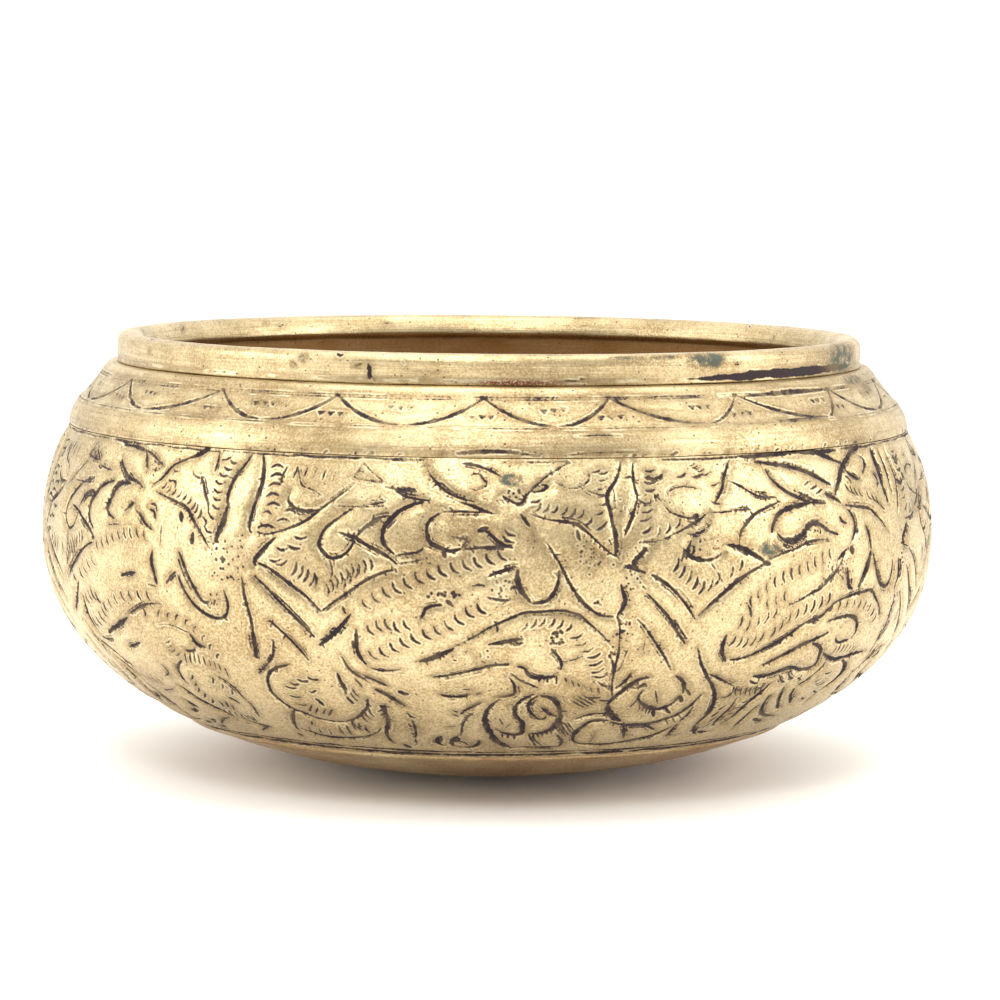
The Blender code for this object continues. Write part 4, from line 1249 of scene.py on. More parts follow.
def border_lines():
    """The ragged line under the shoulder's seam and the double line at the frieze's foot. Each is a
    chain of short runs of the graver whose ends overlap or leave a gap, as real ones rarely meet."""
    chance = np.random.default_rng(7)
    lines = [
        cut(0.40, (-20.0, 0.0), (-18.0, -0.1), (-15.7, 0.1)),
        cut(0.30, (-13.0, 0.0), (-10.0, 0.2), (-7.0, 0.0)),
        cut(0.25, (2.0, 0.1), (6.0, 0.2), (10.0, 0.1)),
        cut(0.38, (22.0, 0.0), (28.0, 0.1), (34.0, -0.1), (40.0, 0.0)),
        cut(0.80, (43.0, -0.1), (47.0, 0.1), (51.0, 0.0)),
    ]
    angle = SEAM_DRAWN_END
    while angle < 341.0:
        run = angle + np.arange(0, chance.uniform(5, 14), 1.3)
        lines.append(cut(chance.uniform(0.18, 0.46), *zip(run, chance.normal(-0.05, 0.09, len(run)))))
        angle = run[-1] + chance.uniform(-1.2, 0.5)
    angle = -6.0
    while angle < 343.0:
        length = chance.uniform(7, 16)
        wide = chance.uniform(0.8, 1.1)
        tilt = FOOT_LINES[0] + chance.normal(0, 0.12, 3)
        lines.append(cut(wide, (angle, tilt[0]), (angle + length / 2, tilt[1]), (angle + length, tilt[2])))
        angle += length - chance.uniform(0.2, 1.6)
    angle = -7.0
    while angle < 336.0:
        run = angle + np.arange(0, chance.uniform(8, 22), 1.6)
        lines.append(cut(chance.uniform(0.8, 1.25), *zip(run, chance.normal(FOOT_LINES[1], 0.09, len(run)))))
        angle = run[-1] + chance.uniform(-0.8, 1.5)
    lines.append(cut(0.9, (-15.5, 68.9), (-10.0, 68.7), (-5.5, 68.8)))
    return lines


frieze = whole_frieze() + border_lines()
print(len(frieze), "engraved strokes on a band", round(WALL_LENGTH, 1), "mm deep")

# %% The wall's surface
ALL_ROUND = np.arange(COLUMNS) * 360.0 / COLUMNS


def wall_field():
    """Distance to the nearest cut over the whole wall."""
    return nearest_cut(frieze, ALL_ROUND, WALL_ROWS, WALL_SKIN[:, 0])


def wall_relief(distance):
    """Height of the wall's skin: the grooves, the leaves' rounded edges that sink towards the wide
    cuts round them, the smith's unevenness in three sizes, and an edge rolled off at the foot."""
    shape = distance.shape
    outlines = [stroke for stroke in frieze if stroke[1].max() > 0.27 and len(stroke[0]) > 18]
    leaf_edge = nearest_cut(outlines, ALL_ROUND, WALL_ROWS, WALL_SKIN[:, 0])
    swell = -0.36 * np.clip(1 - leaf_edge / FAR, 0, 1) ** 2 - 0.05 * np.clip(1 - distance / 0.6, 0, 1) ** 2
    uneven = 0.11 * wandering(shape, (7, 44), 11) + 0.070 * wandering(shape, (19, 150), 12)
    uneven += 0.022 * wandering(shape, (90, 700), 13)
    edge = np.minimum(WALL_ROWS - WALL_ROWS[0], WALL_LENGTH - WALL_ROWS)[:, None]
    foot = WALL_ROWS[:, None] > WALL_LENGTH / 2
    rolled = -0.10 * np.clip(1 - edge / 0.4, 0, 1) ** 2 * foot
    calm = np.clip(edge / 1.5, 0, 1) ** 0.5
    return groove(distance) + (swell + uneven - 0.06) * calm + rolled - 0.02


def wall_blots():
    """Where verdigris sits on the wall: two spots at the front, and a few round the back."""
    blots = [(3.0, 3.6, 1.3, 1.2, 1.2), (35.5, 17.5, 1.4, 1.3, 1.2)]
    chance = np.random.default_rng(17)
    for _ in range(7):
        blots.append((chance.uniform(85, 285), chance.uniform(2, 40), 1.8, 1.8, 1.0))
    return blots


wall_cut = wall_field()
wall_height = np.minimum(wall_relief(wall_cut), 0.04)
wall_green = spots(ALL_ROUND, WALL_ROWS, wall_blots())
wall_grid = swept(WALL_SKIN, ALL_ROUND, wall_height)
wall_normals = grid_normals(wall_grid, True)
print("deepest cut", round(float(-wall_height.min()), 2), "mm")

# %% The panels
INNER_PACE = 1.25
INNER_SKIN = belly(np.linspace(WALL_BOTTOM + 1.2, WALL_TOP - 0.6, 40), WALL_THICKNESS - 0.05)


def wall_panel(number):
    """One panel: its share of the fine skin outside, and a plain skin inside."""
    picked = np.arange(number * PANEL_COLUMNS, (number + 1) * PANEL_COLUMNS + 1) % COLUMNS
    degrees = 360.0 / REPEATS * number + INNER_PACE * np.arange(37)
    coarse = swept(INNER_SKIN, degrees, 0.02 * wandering((len(INNER_SKIN), 1), (6, 1), 3))
    marks = {"cut": wall_cut[:, picked], "verdigris": wall_green[:, picked]}
    points, faces, marks = two_grids(wall_grid[:, picked], coarse, marks, closed=False)
    inner_normals = grid_normals(coarse, False)
    normals = np.concatenate([wall_normals[:, picked].reshape(-1, 3), inner_normals.reshape(-1, 3)])
    return build_mesh(f"frieze_panel_{number + 1}", points, faces, marks, normals)


panels = [wall_panel(number) for number in range(REPEATS)]
print(len(panels), "panels")

# %% [markdown]
# ## The shoulder ring
# Above the wall the shoulder slopes in to the neck. It carries a band of swags, each swag two long
# chisel strokes that meet at its lowest point, and small three-cornered punch marks between them.

# %% The shoulder's outline and its cuts
SHOULDER_OUTSIDE = even(softened([
    (74.4, 81.2, 0), (76.4, 81.1, 0.6), (77.4, 80.1, 0.5), (78.1, 78.9, 0.5), (81.6, 74.5, 0.6),
    (82.3, 74.2, 0.3),
    (83.6, 72.3, 1.0), (84.3, 70.6, 1.2), (84.45, 68.82, 0.08), (83.4, 68.82, 0)]), 0.30)
SHOULDER_INSIDE = np.array([
    (82.25, 68.8), (82.2, 67.0), (83.3, 65.0), (84.2, 62.8), (82.9, 62.1), (82.0, 64.0), (80.7, 66.1),
    (79.6, 72.9),
    (76.1, 76.8), (72.95, 77.2), (72.95, 81.1)])
SHOULDER_RUN = running_length(SHOULDER_OUTSIDE)
print("shoulder outline:", len(SHOULDER_RUN), "points over", round(SHOULDER_RUN[-1], 1), "mm")

# %% Its swags and punch marks
SWAG_TOP, SWAG_LOW, SEAM = 79.15, 74.5, 68.95
PUNCH_SIZE = 1.15

def shoulder_at(height):
    """Place along the shoulder's outline where it passes a height: the outline falls all the way, so
    its heights are read backwards."""
    return float(np.interp(-height, -SHOULDER_OUTSIDE[:, 1], SHOULDER_RUN))


def wedge(angle, place):
    """A three-cornered punch mark: rows of points across it, each row narrower than the one above."""
    rows = [(k, across) for k in range(4) for across in np.linspace(k - 3.5, 3.5 - k, 8 - 2 * k)]
    line = [(angle + across * PUNCH_SIZE / 7 / 1.4, place + k * PUNCH_SIZE / 5) for k, across in rows]
    line = np.array(line)
    return line, np.full(len(line), 0.11)


def punched(angle, place, chance):
    """Three wedges side by side, not quite two millimetres apart."""
    lean = chance.normal(0, 0.12)
    return [wedge(angle + k * 1.28 + chance.normal(0, 0.08), place + k * lean) for k in (-1, 0, 1)]


def swag(start, end, share, top, low):
    """One swag between two apexes. It falls as top + (low - top)(1 - u^2), where u goes from 1 at an
    apex to 0 at the lowest point, which lies at a share of the way across."""
    u = np.array([1.0, 0.8, 0.55, 0.28, 0.03])
    fall = low - (low - top) * u ** 2
    lowest = start + share * (end - start)
    left = np.stack([lowest - u * (lowest - start), fall], -1)
    right = np.stack([lowest + u[::-1] * (end - lowest), fall[::-1]], -1)
    return [cut(0.74, *left), cut(0.70, *right)]


print("a swag is", len(swag(0, 20, 0.5, 0, 4)), "cuts")

# %% All the cuts of the shoulder
FRONT_APEXES = [-61.5, -39.0, -20.4, -0.4, 16.5, 36.0, 56.1, 77.0]
FRONT_SHARES = [0.36, 0.45, 0.47, 0.56, 0.68, 0.80, 0.55]
SEAM_BURRS = 150


def shoulder_strokes():
    """Swags and punch marks, the cuts and burrs along the seam, and the thin turned lines over and
    under the swags."""
    chance = np.random.default_rng(21)
    top, low = shoulder_at(SWAG_TOP), shoulder_at(SWAG_LOW)
    apexes = FRONT_APEXES + list(np.linspace(77.0, 298.5, 12)[1:])
    shares = FRONT_SHARES + list(chance.uniform(0.35, 0.7, 11))
    strokes = []
    for start, end, share in zip(apexes[:-1], apexes[1:], shares):
        here, there = top + chance.normal(0, 0.08), low + chance.normal(0, 0.12)
        strokes += swag(start, end, share, here, there)
        strokes += punched(start - 0.3, top + 3.8 + chance.normal(0, 0.15), chance)
        strokes += punched(start + share * (end - start) - 0.3, top + 2.05 + chance.normal(0, 0.15), chance)
        strokes.append(cut(0.6, (start - 0.5, here - 0.25), (start, here), (start + 0.4, here - 0.1)))
    seam = shoulder_at(SEAM)
    strokes.append(cut(0.70, (-3.6, seam - 0.75), (0.4, seam - 1.15), (3.0, seam - 1.0), (6.0, seam - 0.45)))
    strokes.append(cut(0.30, (9.0, seam - 0.3), (12.0, seam - 0.8), (15.0, seam - 1.0), (19.0, seam - 0.9)))
    for _ in range(SEAM_BURRS):
        angle = chance.uniform(0, 360)
        slip, rise = chance.uniform(0.2, 0.9), chance.uniform(0.15, 0.75)
        burr = [(angle + part * slip, seam - 0.1 - rise * lift) for part,
                lift in ((0, 0), (0.5, 0.7), (1, 1))]
        strokes.append(cut(chance.uniform(0.15, 0.42), *burr))
    strokes.append(cut(0.95, (37.5, top + 0.25), (43.0, top + 0.05), (49.0, top), (55.0, top + 0.1)))
    strokes.append(cut(0.45, (41.0, low + 0.2), (46.0, low + 0.1), (50.0, low + 0.25)))
    strokes.append(cut(0.40, (11.0, shoulder_at(72.8)), (14.0, shoulder_at(72.9)), (17.0, shoulder_at(72.8))))
    angle = 0.0
    while angle < 360.0:
        length = chance.uniform(6, 18)
        for height, width in ((79.3, 0.22), (78.95, 0.26), (74.1, 0.22)):
            tilt = shoulder_at(height) + chance.normal(0, 0.05, 3)
            strokes.append(cut(width, (angle, tilt[0]), (angle + length / 2, tilt[1]),
                               (angle + length, tilt[2])))
        angle += length + chance.uniform(-0.4, 1.5)
    return strokes


print(len(shoulder_strokes()), "cuts on the shoulder")

# %% The shoulder's surface
SHOULDER_COLUMNS = np.arange(1440) * 0.25
SHOULDER_BLOTS = [
    (66.0, 80.2, 3.5, 1.1, 1.0),
    (70.0, 78.2, 2.0, 1.4, 0.6),
    (171.0, 79.5, 5.0, 1.5, 0.9),
    (240.0, 71.0, 3.0, 1.2, 0.7),
]
TOP_EDGE_BLOT = (-26.5, 1.6, 0.8, 0.5, 0.8)


def shoulder_ring():
    """The ring: cuts, two shallow turned grooves in its plain band, and slight unevenness."""
    distance = nearest_cut(shoulder_strokes(), SHOULDER_COLUMNS, SHOULDER_RUN, SHOULDER_OUTSIDE[:, 0])
    z = SHOULDER_OUTSIDE[:, 1, None]
    turned = -0.05 * np.exp(-((z - 73.2) / 0.22) ** 2) - 0.05 * np.exp(-((z - 72.4) / 0.25) ** 2)
    turned += -0.04 * np.exp(-((z - 70.6) / 0.3) ** 2)
    uneven = 0.035 * wandering(distance.shape, (5, 60), 31) + 0.012 * wandering(distance.shape, (16, 300), 32)
    relief = np.minimum(groove(distance, 0.02) + turned + uneven - 0.04, 0.0)
    fine = swept(SHOULDER_OUTSIDE, SHOULDER_COLUMNS, relief)
    coarse = swept(SHOULDER_INSIDE, np.arange(0, 360, 2.0))
    blots = [(angle, shoulder_at(height), *rest) for angle, height, *rest in SHOULDER_BLOTS]
    green = spots(SHOULDER_COLUMNS, SHOULDER_RUN, blots + [TOP_EDGE_BLOT])
    points, faces, marks = two_grids(fine, coarse, {"cut": distance, "verdigris": green})
    return build_mesh("swag_band", points, faces, marks)


shoulder = shoulder_ring()
print("verdigris on the shoulder:", len(SHOULDER_BLOTS) + 1, "blots")

# %% [markdown]
# ## The rim collar
# The collar is the thickest casting. Its lip is rounded over by two thin turned steps, and use has
# left dents along it.

# %% The collar's surface
COLLAR_OUTSIDE = even(softened([
    (70.4, 81.9, 0), (68.85, 82.7, 0.5), (69.0, 84.3, 1.2), (70.5, 86.95, 2.0), (74.85, 86.95, 2.6),
    (74.75, 82.6, 0.8),
    (74.98, 81.22, 0.05), (73.6, 81.22, 0)], 10), 0.33)
COLLAR_INSIDE = np.array([(72.65, 81.3), (72.65, 78.0), (72.65, 75.55), (70.45, 75.55), (70.4, 78.5),
                          (70.4, 81.5)])
COLLAR_COLUMNS = np.arange(1080) / 3.0
COLLAR_RUN = running_length(COLLAR_OUTSIDE)
SCRATCHES = 60
NICKS = [
    (0.60, (-16.9, 84.9), (-16.7, 83.4), (-16.8, 82.0)),
    (0.20, (-19.0, 84.3), (-18.4, 84.6), (-17.9, 84.7)),
    (0.60, (-21.8, 86.5), (-21.3, 86.2), (-20.9, 86.5)),
]


def collar_at(height):
    """Place along the collar's outline of a height on its outer side, which is its last stretch."""
    outer = COLLAR_OUTSIDE[:, 0] > 74.0
    return float(np.interp(-height, -COLLAR_OUTSIDE[outer, 1], COLLAR_RUN[outer]))


def collar_strokes():
    """Nicks and scratches by years of knocks: three nicks at the front left, given as (angle,
    height), and scratches scattered all over the lip."""
    chance = np.random.default_rng(41)
    strokes = [cut(width, *((angle, collar_at(z)) for angle, z in places)) for width, *places in NICKS]
    for _ in range(SCRATCHES):
        angle = chance.uniform(0, 360)
        place = chance.uniform(3.0, COLLAR_RUN[-1] - 1.5)
        turn, rise = chance.normal(0, 1.2), chance.normal(0, 0.6)
        width = chance.uniform(0.12, 0.3)
        middle = (angle + turn / 2, place + rise * 0.7)
        strokes.append(cut(width, (angle, place), middle, (angle + turn, place + rise)))
    return strokes


print(len(collar_strokes()), "nicks and scratches on the collar")

# %% Tarnish in the crevice, and the whole collar
def crevice_tarnish():
    """Distance to the edge of the tarnish that the polishing cloth never reached, a ragged streak low
    on the collar's side: |z - middle| - half height, which is largest at the right of the front."""
    def noise(cells, seed):
        return wandering((2, len(COLLAR_COLUMNS)), (1, cells), seed)[:1]

    turn = (COLLAR_COLUMNS[None, :] + 180) % 360 - 180
    high = 0.80 * np.exp(-((turn - 51) / 18.0) ** 4) + 0.5 * np.exp(-((turn + 150) / 25.0) ** 2) - 0.06
    high = high + 0.10 * noise(90, 44) + 0.12 * noise(360, 45)
    middle = 82.0 + 0.55 * np.clip((turn - 28) / 20.0, 0, 1) + 0.12 * noise(120, 46)
    outside = np.where(COLLAR_OUTSIDE[:, 0] > 73.5, 0.0, FAR)
    return np.clip(np.abs(COLLAR_OUTSIDE[:, 1, None] - middle) - high + outside[:, None], -1.0, FAR)


COLLAR_GREEN = [
    (33.0, 85.6, 3.0, 1.6, 1.3),
    (20.0, 86.3, 3.5, 0.6, 0.7),
    (26.0, 86.3, 2.5, 0.6, 0.8),
    (67.0, 84.2, 6.0, 3.4, 1.0),
    (-27.0, 85.6, 1.3, 1.3, 0.5),
    (-28.6, 84.2, 0.8, 1.0, 0.5),
    (-18.6, 84.3, 0.9, 0.6, 0.4),
    (22.0, 85.5, 8.0, 1.3, 0.30),
    (118.0, 84.0, 9.0, 2.5, 0.9),
    (204.0, 85.5, 7.0, 2.0, 0.9),
    (-95.0, 83.5, 5.0, 2.0, 0.8),
]
COLLAR_RED = [(4.0, 81.7, 6.0, 0.5, 1.6), (150.0, 82.0, 14.0, 0.9, 0.9), (-120.0, 81.8, 9.0, 0.7, 0.9)]


def rim_collar():
    """The collar: its outline, shallow dents in two sizes, the nicks, and two fine lines on its side."""
    distance = nearest_cut(collar_strokes(), COLLAR_COLUMNS, COLLAR_RUN, COLLAR_OUTSIDE[:, 0])
    r, z = COLLAR_OUTSIDE[:, 0, None], COLLAR_OUTSIDE[:, 1, None]
    outside = 1 / (1 + np.exp(-(r - 73.5) * 6))
    lines = -0.03 * outside * (np.exp(-((z - 82.6) / 0.15) ** 2) + np.exp(-((z - 84.3) / 0.18) ** 2))
    uneven = 0.06 * wandering(distance.shape, (3, 36), 42) + 0.022 * wandering(distance.shape, (12, 190), 43)
    relief = np.minimum(groove(distance, 0.01) + lines + uneven - 0.05, 0.0)
    fine = swept(COLLAR_OUTSIDE, COLLAR_COLUMNS, relief)
    coarse = swept(COLLAR_INSIDE, np.arange(0, 360, 3.0))
    green, red = (
        spots(COLLAR_COLUMNS, COLLAR_RUN, [(angle, collar_at(height), *rest) for angle, height,
                                           *rest in blots])
        for blots in (COLLAR_GREEN, COLLAR_RED))
    # Painted shade: the lower part of the collar's inner face is marked inside, so the material paints it
    # SHADED
    shade = np.clip((70.2 - r) / -1.0, 0, 1) * (z < 83.2) * (1 - outside)
    marks = {"cut": np.minimum(distance, crevice_tarnish()), "verdigris": green, "copper": red}
    marks["inside"] = shade + np.zeros(distance.shape)
    points, faces, marks = two_grids(fine, coarse, marks)
    return build_mesh("turned_lip", points, faces, marks)


collar = rim_collar()
print("verdigris on the collar:", len(COLLAR_GREEN), "blots")

# %% [markdown]
# ## The base dish and the braze
# The dish carries on the wall's curve down to a flat foot. Its outline starts on the axis inside,
# runs out over the flange and comes back underneath. Each bead of braze is a lumpy three-cornered ring.

# %% The dish and the beads
DISH_COLUMNS = np.arange(480) * 0.75
DISH_EDGE = WALL_BOTTOM - 0.35


def dish_outline():
    """Inside from the axis to the flange, over its edge, and outside back to the axis: the curved
    parts follow the belly, the floor is blended in by straight runs."""
    angles = np.linspace(-74, -35.4, 30)
    inner = belly(angles, WALL_THICKNESS)
    inner = inner[(inner[:, 0] > 21.0) & (inner[:, 1] > 2.7)]
    flange = softened([(57.7, 11.4, 0), (59.5, 14.4, 1.0), (65.0, 17.15, 0.6), (65.85, 15.8, 0.3),
                       (60.3, 12.8, 0.2),
                       (61.35, 10.15, 0.25), (60.9, 9.7, 0)])
    outer = belly(np.linspace(DISH_EDGE - 0.4, -80, 70), 0.02)
    outer = outer[(outer[:, 0] > 20.5) & (outer[:, 1] > 0.02)]
    whole = np.concatenate([[(0.3, 2.6), (19.0, 2.6)], inner, flange, outer, [(19.5, 0.02), (0.3, 0.02)]])
    return even(whole, 1.0)


def base_dish():
    """The dish: fine turned rings underneath, and closed by a small face on the axis on both sides."""
    outline = dish_outline()
    rows, columns = len(outline), len(DISH_COLUMNS)
    shape = (rows, columns)
    inner = np.arange(rows) < np.argmax(outline[:, 0]) + 2
    edge = (outline[:, 1] > 0.3) & (outline[:, 0] > 24)
    uneven = 0.06 * wandering(shape, (24, 40), 51) + 0.02 * wandering(shape, (60, 160), 52) - 0.08
    relief = uneven * edge[:, None]
    grid = swept(outline, DISH_COLUMNS, relief)
    first = np.arange(columns)
    faces = [quads(0, rows, columns, True), first[None, :], ((rows - 1) * columns + first)[None, ::-1]]
    # the dish's inner face is marked inside, so the material paints shade on it
    marks = {"cut": np.full(rows * columns, FAR), "inside": np.repeat(inner * 1.0, columns)}
    return build_mesh("turned_dish", grid.reshape(-1, 3), faces, marks)


def bead(name, corner, first_tip, second_tip, seed):
    """A bead of braze: its seen face hollows between the two tips, and it is lumpy along its length."""
    corner, first_tip, second_tip = (np.array(p, float) for p in (corner, first_tip, second_tip))
    bend = 0.45 * corner + 0.275 * (first_tip + second_tip)
    face = even(softened([(*first_tip, 0), (*bend, 0.8), (*second_tip, 0)], 8), 0.16)
    columns = np.arange(720) * 0.5
    shape = (len(face), 720)
    fade = np.sin(np.linspace(0, np.pi, len(face)))[:, None]
    lumps = 0.10 * fade * (wandering(shape, (2, 130), seed) - 0.2)
    fine = swept(face, columns, lumps)
    between = 0.5 * (second_tip + corner)
    coarse = swept(np.array([between, corner, 0.5 * (corner + first_tip)]), columns)
    # the whole bead is marked inside, so the material paints shade on it
    points, faces, marks = two_grids(fine, coarse, {"inside": np.ones(shape)})
    return build_mesh("bead_" + name, points, faces, marks)


dish = base_dish()
beads = [
    bead("collar_braze", (72.92, 76.78), (72.92, 75.34), (74.36, 76.78), 61),
    bead("shoulder_braze", (84.2, 61.8), (83.1, 61.8), (84.97, 61.03), 62),
    bead("base_braze", (66.2, 16.45), (66.08, 15.9), (66.9, 16.5), 63),
]
print(len(beads), "beads of braze")

# %% [markdown]
# ## Materials
# All the brass has the same life story: bright metal under a thin brown film, black-brown tarnish packed
# into every cut and a brown stain round it. Over that, light and shade are painted: a highlight along the
# cuts' edges, shade in the hollows by the cuts and towards the foot, and shade on the insides. The steps of
# that story are node groups, and each piece's material chooses how far each of them has gone.

# %% Shorthand for making nodes


class Wiring:
    """Makes and joins nodes in one tree. A value may be a number, a colour or another node's output."""

    def __init__(self, tree):
        self.tree = tree

    def node(self, kind, values=None, **settings):
        """A node with its settings, and values put on its named or numbered inputs."""
        node = self.tree.nodes.new(kind)
        for name, setting in settings.items():
            setattr(node, name, setting)
        for socket, value in (values or {}).items():
            self.put(node.inputs[socket], value)
        return node

    def put(self, socket, value):
        """Join an output to the input, or set the input's own constant."""
        if isinstance(value, bpy.types.NodeSocket):
            self.tree.links.new(value, socket)
        else:
            socket.default_value = value

    def calc(self, operation, a, b=0.0, c=0.0):
        """One sum."""
        node = self.node("ShaderNodeMath", {0: a, 1: b}, operation=operation)
        if operation == "MULTIPLY_ADD":
            self.put(node.inputs[2], c)
        return node.outputs[0]

    def blend(self, amount, a, b):
        """A colour between a and b."""
        return self.node("ShaderNodeMix", {0: amount, 6: a, 7: b}, data_type="RGBA").outputs[2]

    def between(self, amount, a, b):
        """A number between a and b."""
        return self.node("ShaderNodeMix", {0: amount, 2: a, 3: b}, data_type="FLOAT").outputs[0]

    def span(self, value, low, high, start=0.0, end=1.0):
        """A smooth step from start to end as the value goes from low to high."""
        places = {"Value": value, "From Min": low, "From Max": high, "To Min": start, "To Max": end}
        return self.node("ShaderNodeMapRange", places, interpolation_type="SMOOTHSTEP").outputs[0]

    def noise(self, where, scale, detail=3.0, roughness=0.55):
        """Cloudy noise between 0 and 1."""
        places = {"Vector": where, "Scale": scale, "Detail": detail, "Roughness": roughness}
        return self.node("ShaderNodeTexNoise", places).outputs[0]


def new_group(name, inputs, outputs):
    """An empty node group with sockets, given as (kind, name) pairs, and its wiring and two ends."""
    tree = bpy.data.node_groups.new(name, "ShaderNodeTree")
    for direction, sockets in (("INPUT", inputs), ("OUTPUT", outputs)):
        for kind, label in sockets:
            tree.interface.new_socket(label, in_out=direction, socket_type="NodeSocket" + kind)
    wiring = Wiring(tree)
    return wiring, wiring.node("NodeGroupInput"), wiring.node("NodeGroupOutput")


print("a wiring can join", ", ".join(name for name in vars(Wiring) if name[0] != "_"))

# %% Shared steps of the brass's life


def ring_group():
    """Where a point is: its height in mm, and a place whose third number runs quickly across the
    turning marks while the first two run slowly round them."""
    w, start, end = new_group("round_the_axis", [("Vector", "Place")], [
        ("Float", "Height"), ("Vector", "Along Marks")])
    split = w.node("ShaderNodeSeparateXYZ", {0: start.outputs[0]}).outputs
    square = w.calc("ADD", w.calc("MULTIPLY", split[0], split[0]), w.calc("MULTIPLY", split[1], split[1]))
    radius = w.calc("MULTIPLY", w.calc("SQRT", square), 1 / MM)
    height = w.calc("MULTIPLY", split[2], 1 / MM)
    across = w.calc("MULTIPLY_ADD", radius, 0.9, height)
    slow = [w.calc("MULTIPLY", split[k], 70.0) for k in (0, 1)]
    place = w.node("ShaderNodeCombineXYZ", {0: slow[0], 1: slow[1], 2: w.calc("MULTIPLY", across, 3.2)})
    w.put(end.inputs[0], height)
    w.put(end.inputs[1], place.outputs[0])
    return w.tree


def film_group():
    """The brown film: big soft patches broken up by smaller ones, more of it as Amount grows."""
    w, start, end = new_group("brown_film", [("Vector", "Place"), ("Float", "Amount")], [("Float", "Film")])
    big = w.noise(start.outputs[0], 38.0, 4.0, 0.6)
    small = w.noise(start.outputs[0], 260.0, 4.0, 0.65)
    mixed = w.calc("MULTIPLY_ADD", small, 0.45, w.calc("MULTIPLY", big, 0.75))
    raised = w.calc("ADD", mixed, start.outputs[1])
    w.put(end.inputs[0], w.span(raised, 0.62, 1.12))
    return w.tree


def tarnish_group():
    """Tarnish in the cuts: full where the distance to a cut's edge is below zero, with a ragged edge.
    Beyond it comes a painted highlight along the edge in places, and a brown stain that fades over a
    millimetre and also paints shade in the hollows beside the cuts."""
    w, start, end = new_group("tarnish_in_cuts", [("Vector", "Place"), ("Float", "Cut"), ("Float", "Reach")],
                              [
        ("Float", "Packed"), ("Float", "Stain And Shade"), ("Float", "Edge Highlight")])
    ragged = w.calc("SUBTRACT", w.noise(start.outputs[0], 1700.0, 3.0, 0.7), 0.5)
    worn = w.calc("SUBTRACT", w.noise(start.outputs[0], 150.0, 3.0), 0.5)
    shaky = w.calc("MULTIPLY_ADD", ragged, 0.42, start.outputs[1])
    shaky = w.calc("MULTIPLY_ADD", worn, 0.45, shaky)
    shaky = w.calc("SUBTRACT", shaky, start.outputs[2])
    w.put(end.inputs[0], w.span(shaky, 0.05, -0.07))
    # brown stain beside the cuts, which is also painted shade in the hollows there
    w.put(end.inputs[1], w.span(shaky, 1.3, 0.1))
    # painted highlight: a pale band just outside the cut's edge, in patches
    edge = w.calc("MULTIPLY", w.span(shaky, 0.08, 0.16), w.span(shaky, 0.50, 0.22))
    some = w.span(w.noise(start.outputs[0], 210.0, 2.0), 0.44, 0.60)
    w.put(end.inputs[2], w.calc("MULTIPLY", edge, some))
    return w.tree


def pits_group():
    """Casting pits: scattered round holes, as dark spots and as small dents."""
    w, start, end = new_group("casting_pits", [("Vector", "Place"), ("Float", "Scale")], [("Float", "Pit")])
    cells = w.node("ShaderNodeTexVoronoi", {"Vector": start.outputs[0], "Scale": start.outputs[1]})
    chosen = w.span(w.node("ShaderNodeSeparateColor", {0: cells.outputs["Color"]}).outputs[0], 0.74, 0.80)
    hole = w.span(cells.outputs["Distance"], 0.26, 0.10)
    w.put(end.inputs[0], w.calc("MULTIPLY", chosen, hole))
    return w.tree


RING, FILM, TARNISH, PITS = ring_group(), film_group(), tarnish_group(), pits_group()
print("shared steps:", ", ".join(tree.name for tree in (RING, FILM, TARNISH, PITS)))

# %% The brasses
BRIGHT = (0.596, 0.476, 0.266, 1)
WARM = (0.428, 0.318, 0.158, 1)
BROWN = (0.190, 0.124, 0.055, 1)
# RED_BROWN: the base dish's film colour, which towards its foot also serves as painted shade
RED_BROWN = (0.300, 0.135, 0.062, 1)
PALE = (0.700, 0.615, 0.400, 1)
# SHADED is painted shade for the insides of the pieces
SHADED = (0.190, 0.078, 0.012, 1)
PACKED = (0.026, 0.016, 0.017, 1)
COPPER = (0.150, 0.050, 0.030, 1)
VERDIGRIS = (0.048, 0.068, 0.056, 1)


print("nine colours of old brass, from", BRIGHT[:3], "to", PACKED[:3])

# %% One brass, made from the shared steps
def group_node(w, tree, values):
    """A node that uses a group."""
    node = w.node("ShaderNodeGroup", node_tree=tree)
    for socket, value in values.items():
        w.put(node.inputs[socket], value)
    return node.outputs


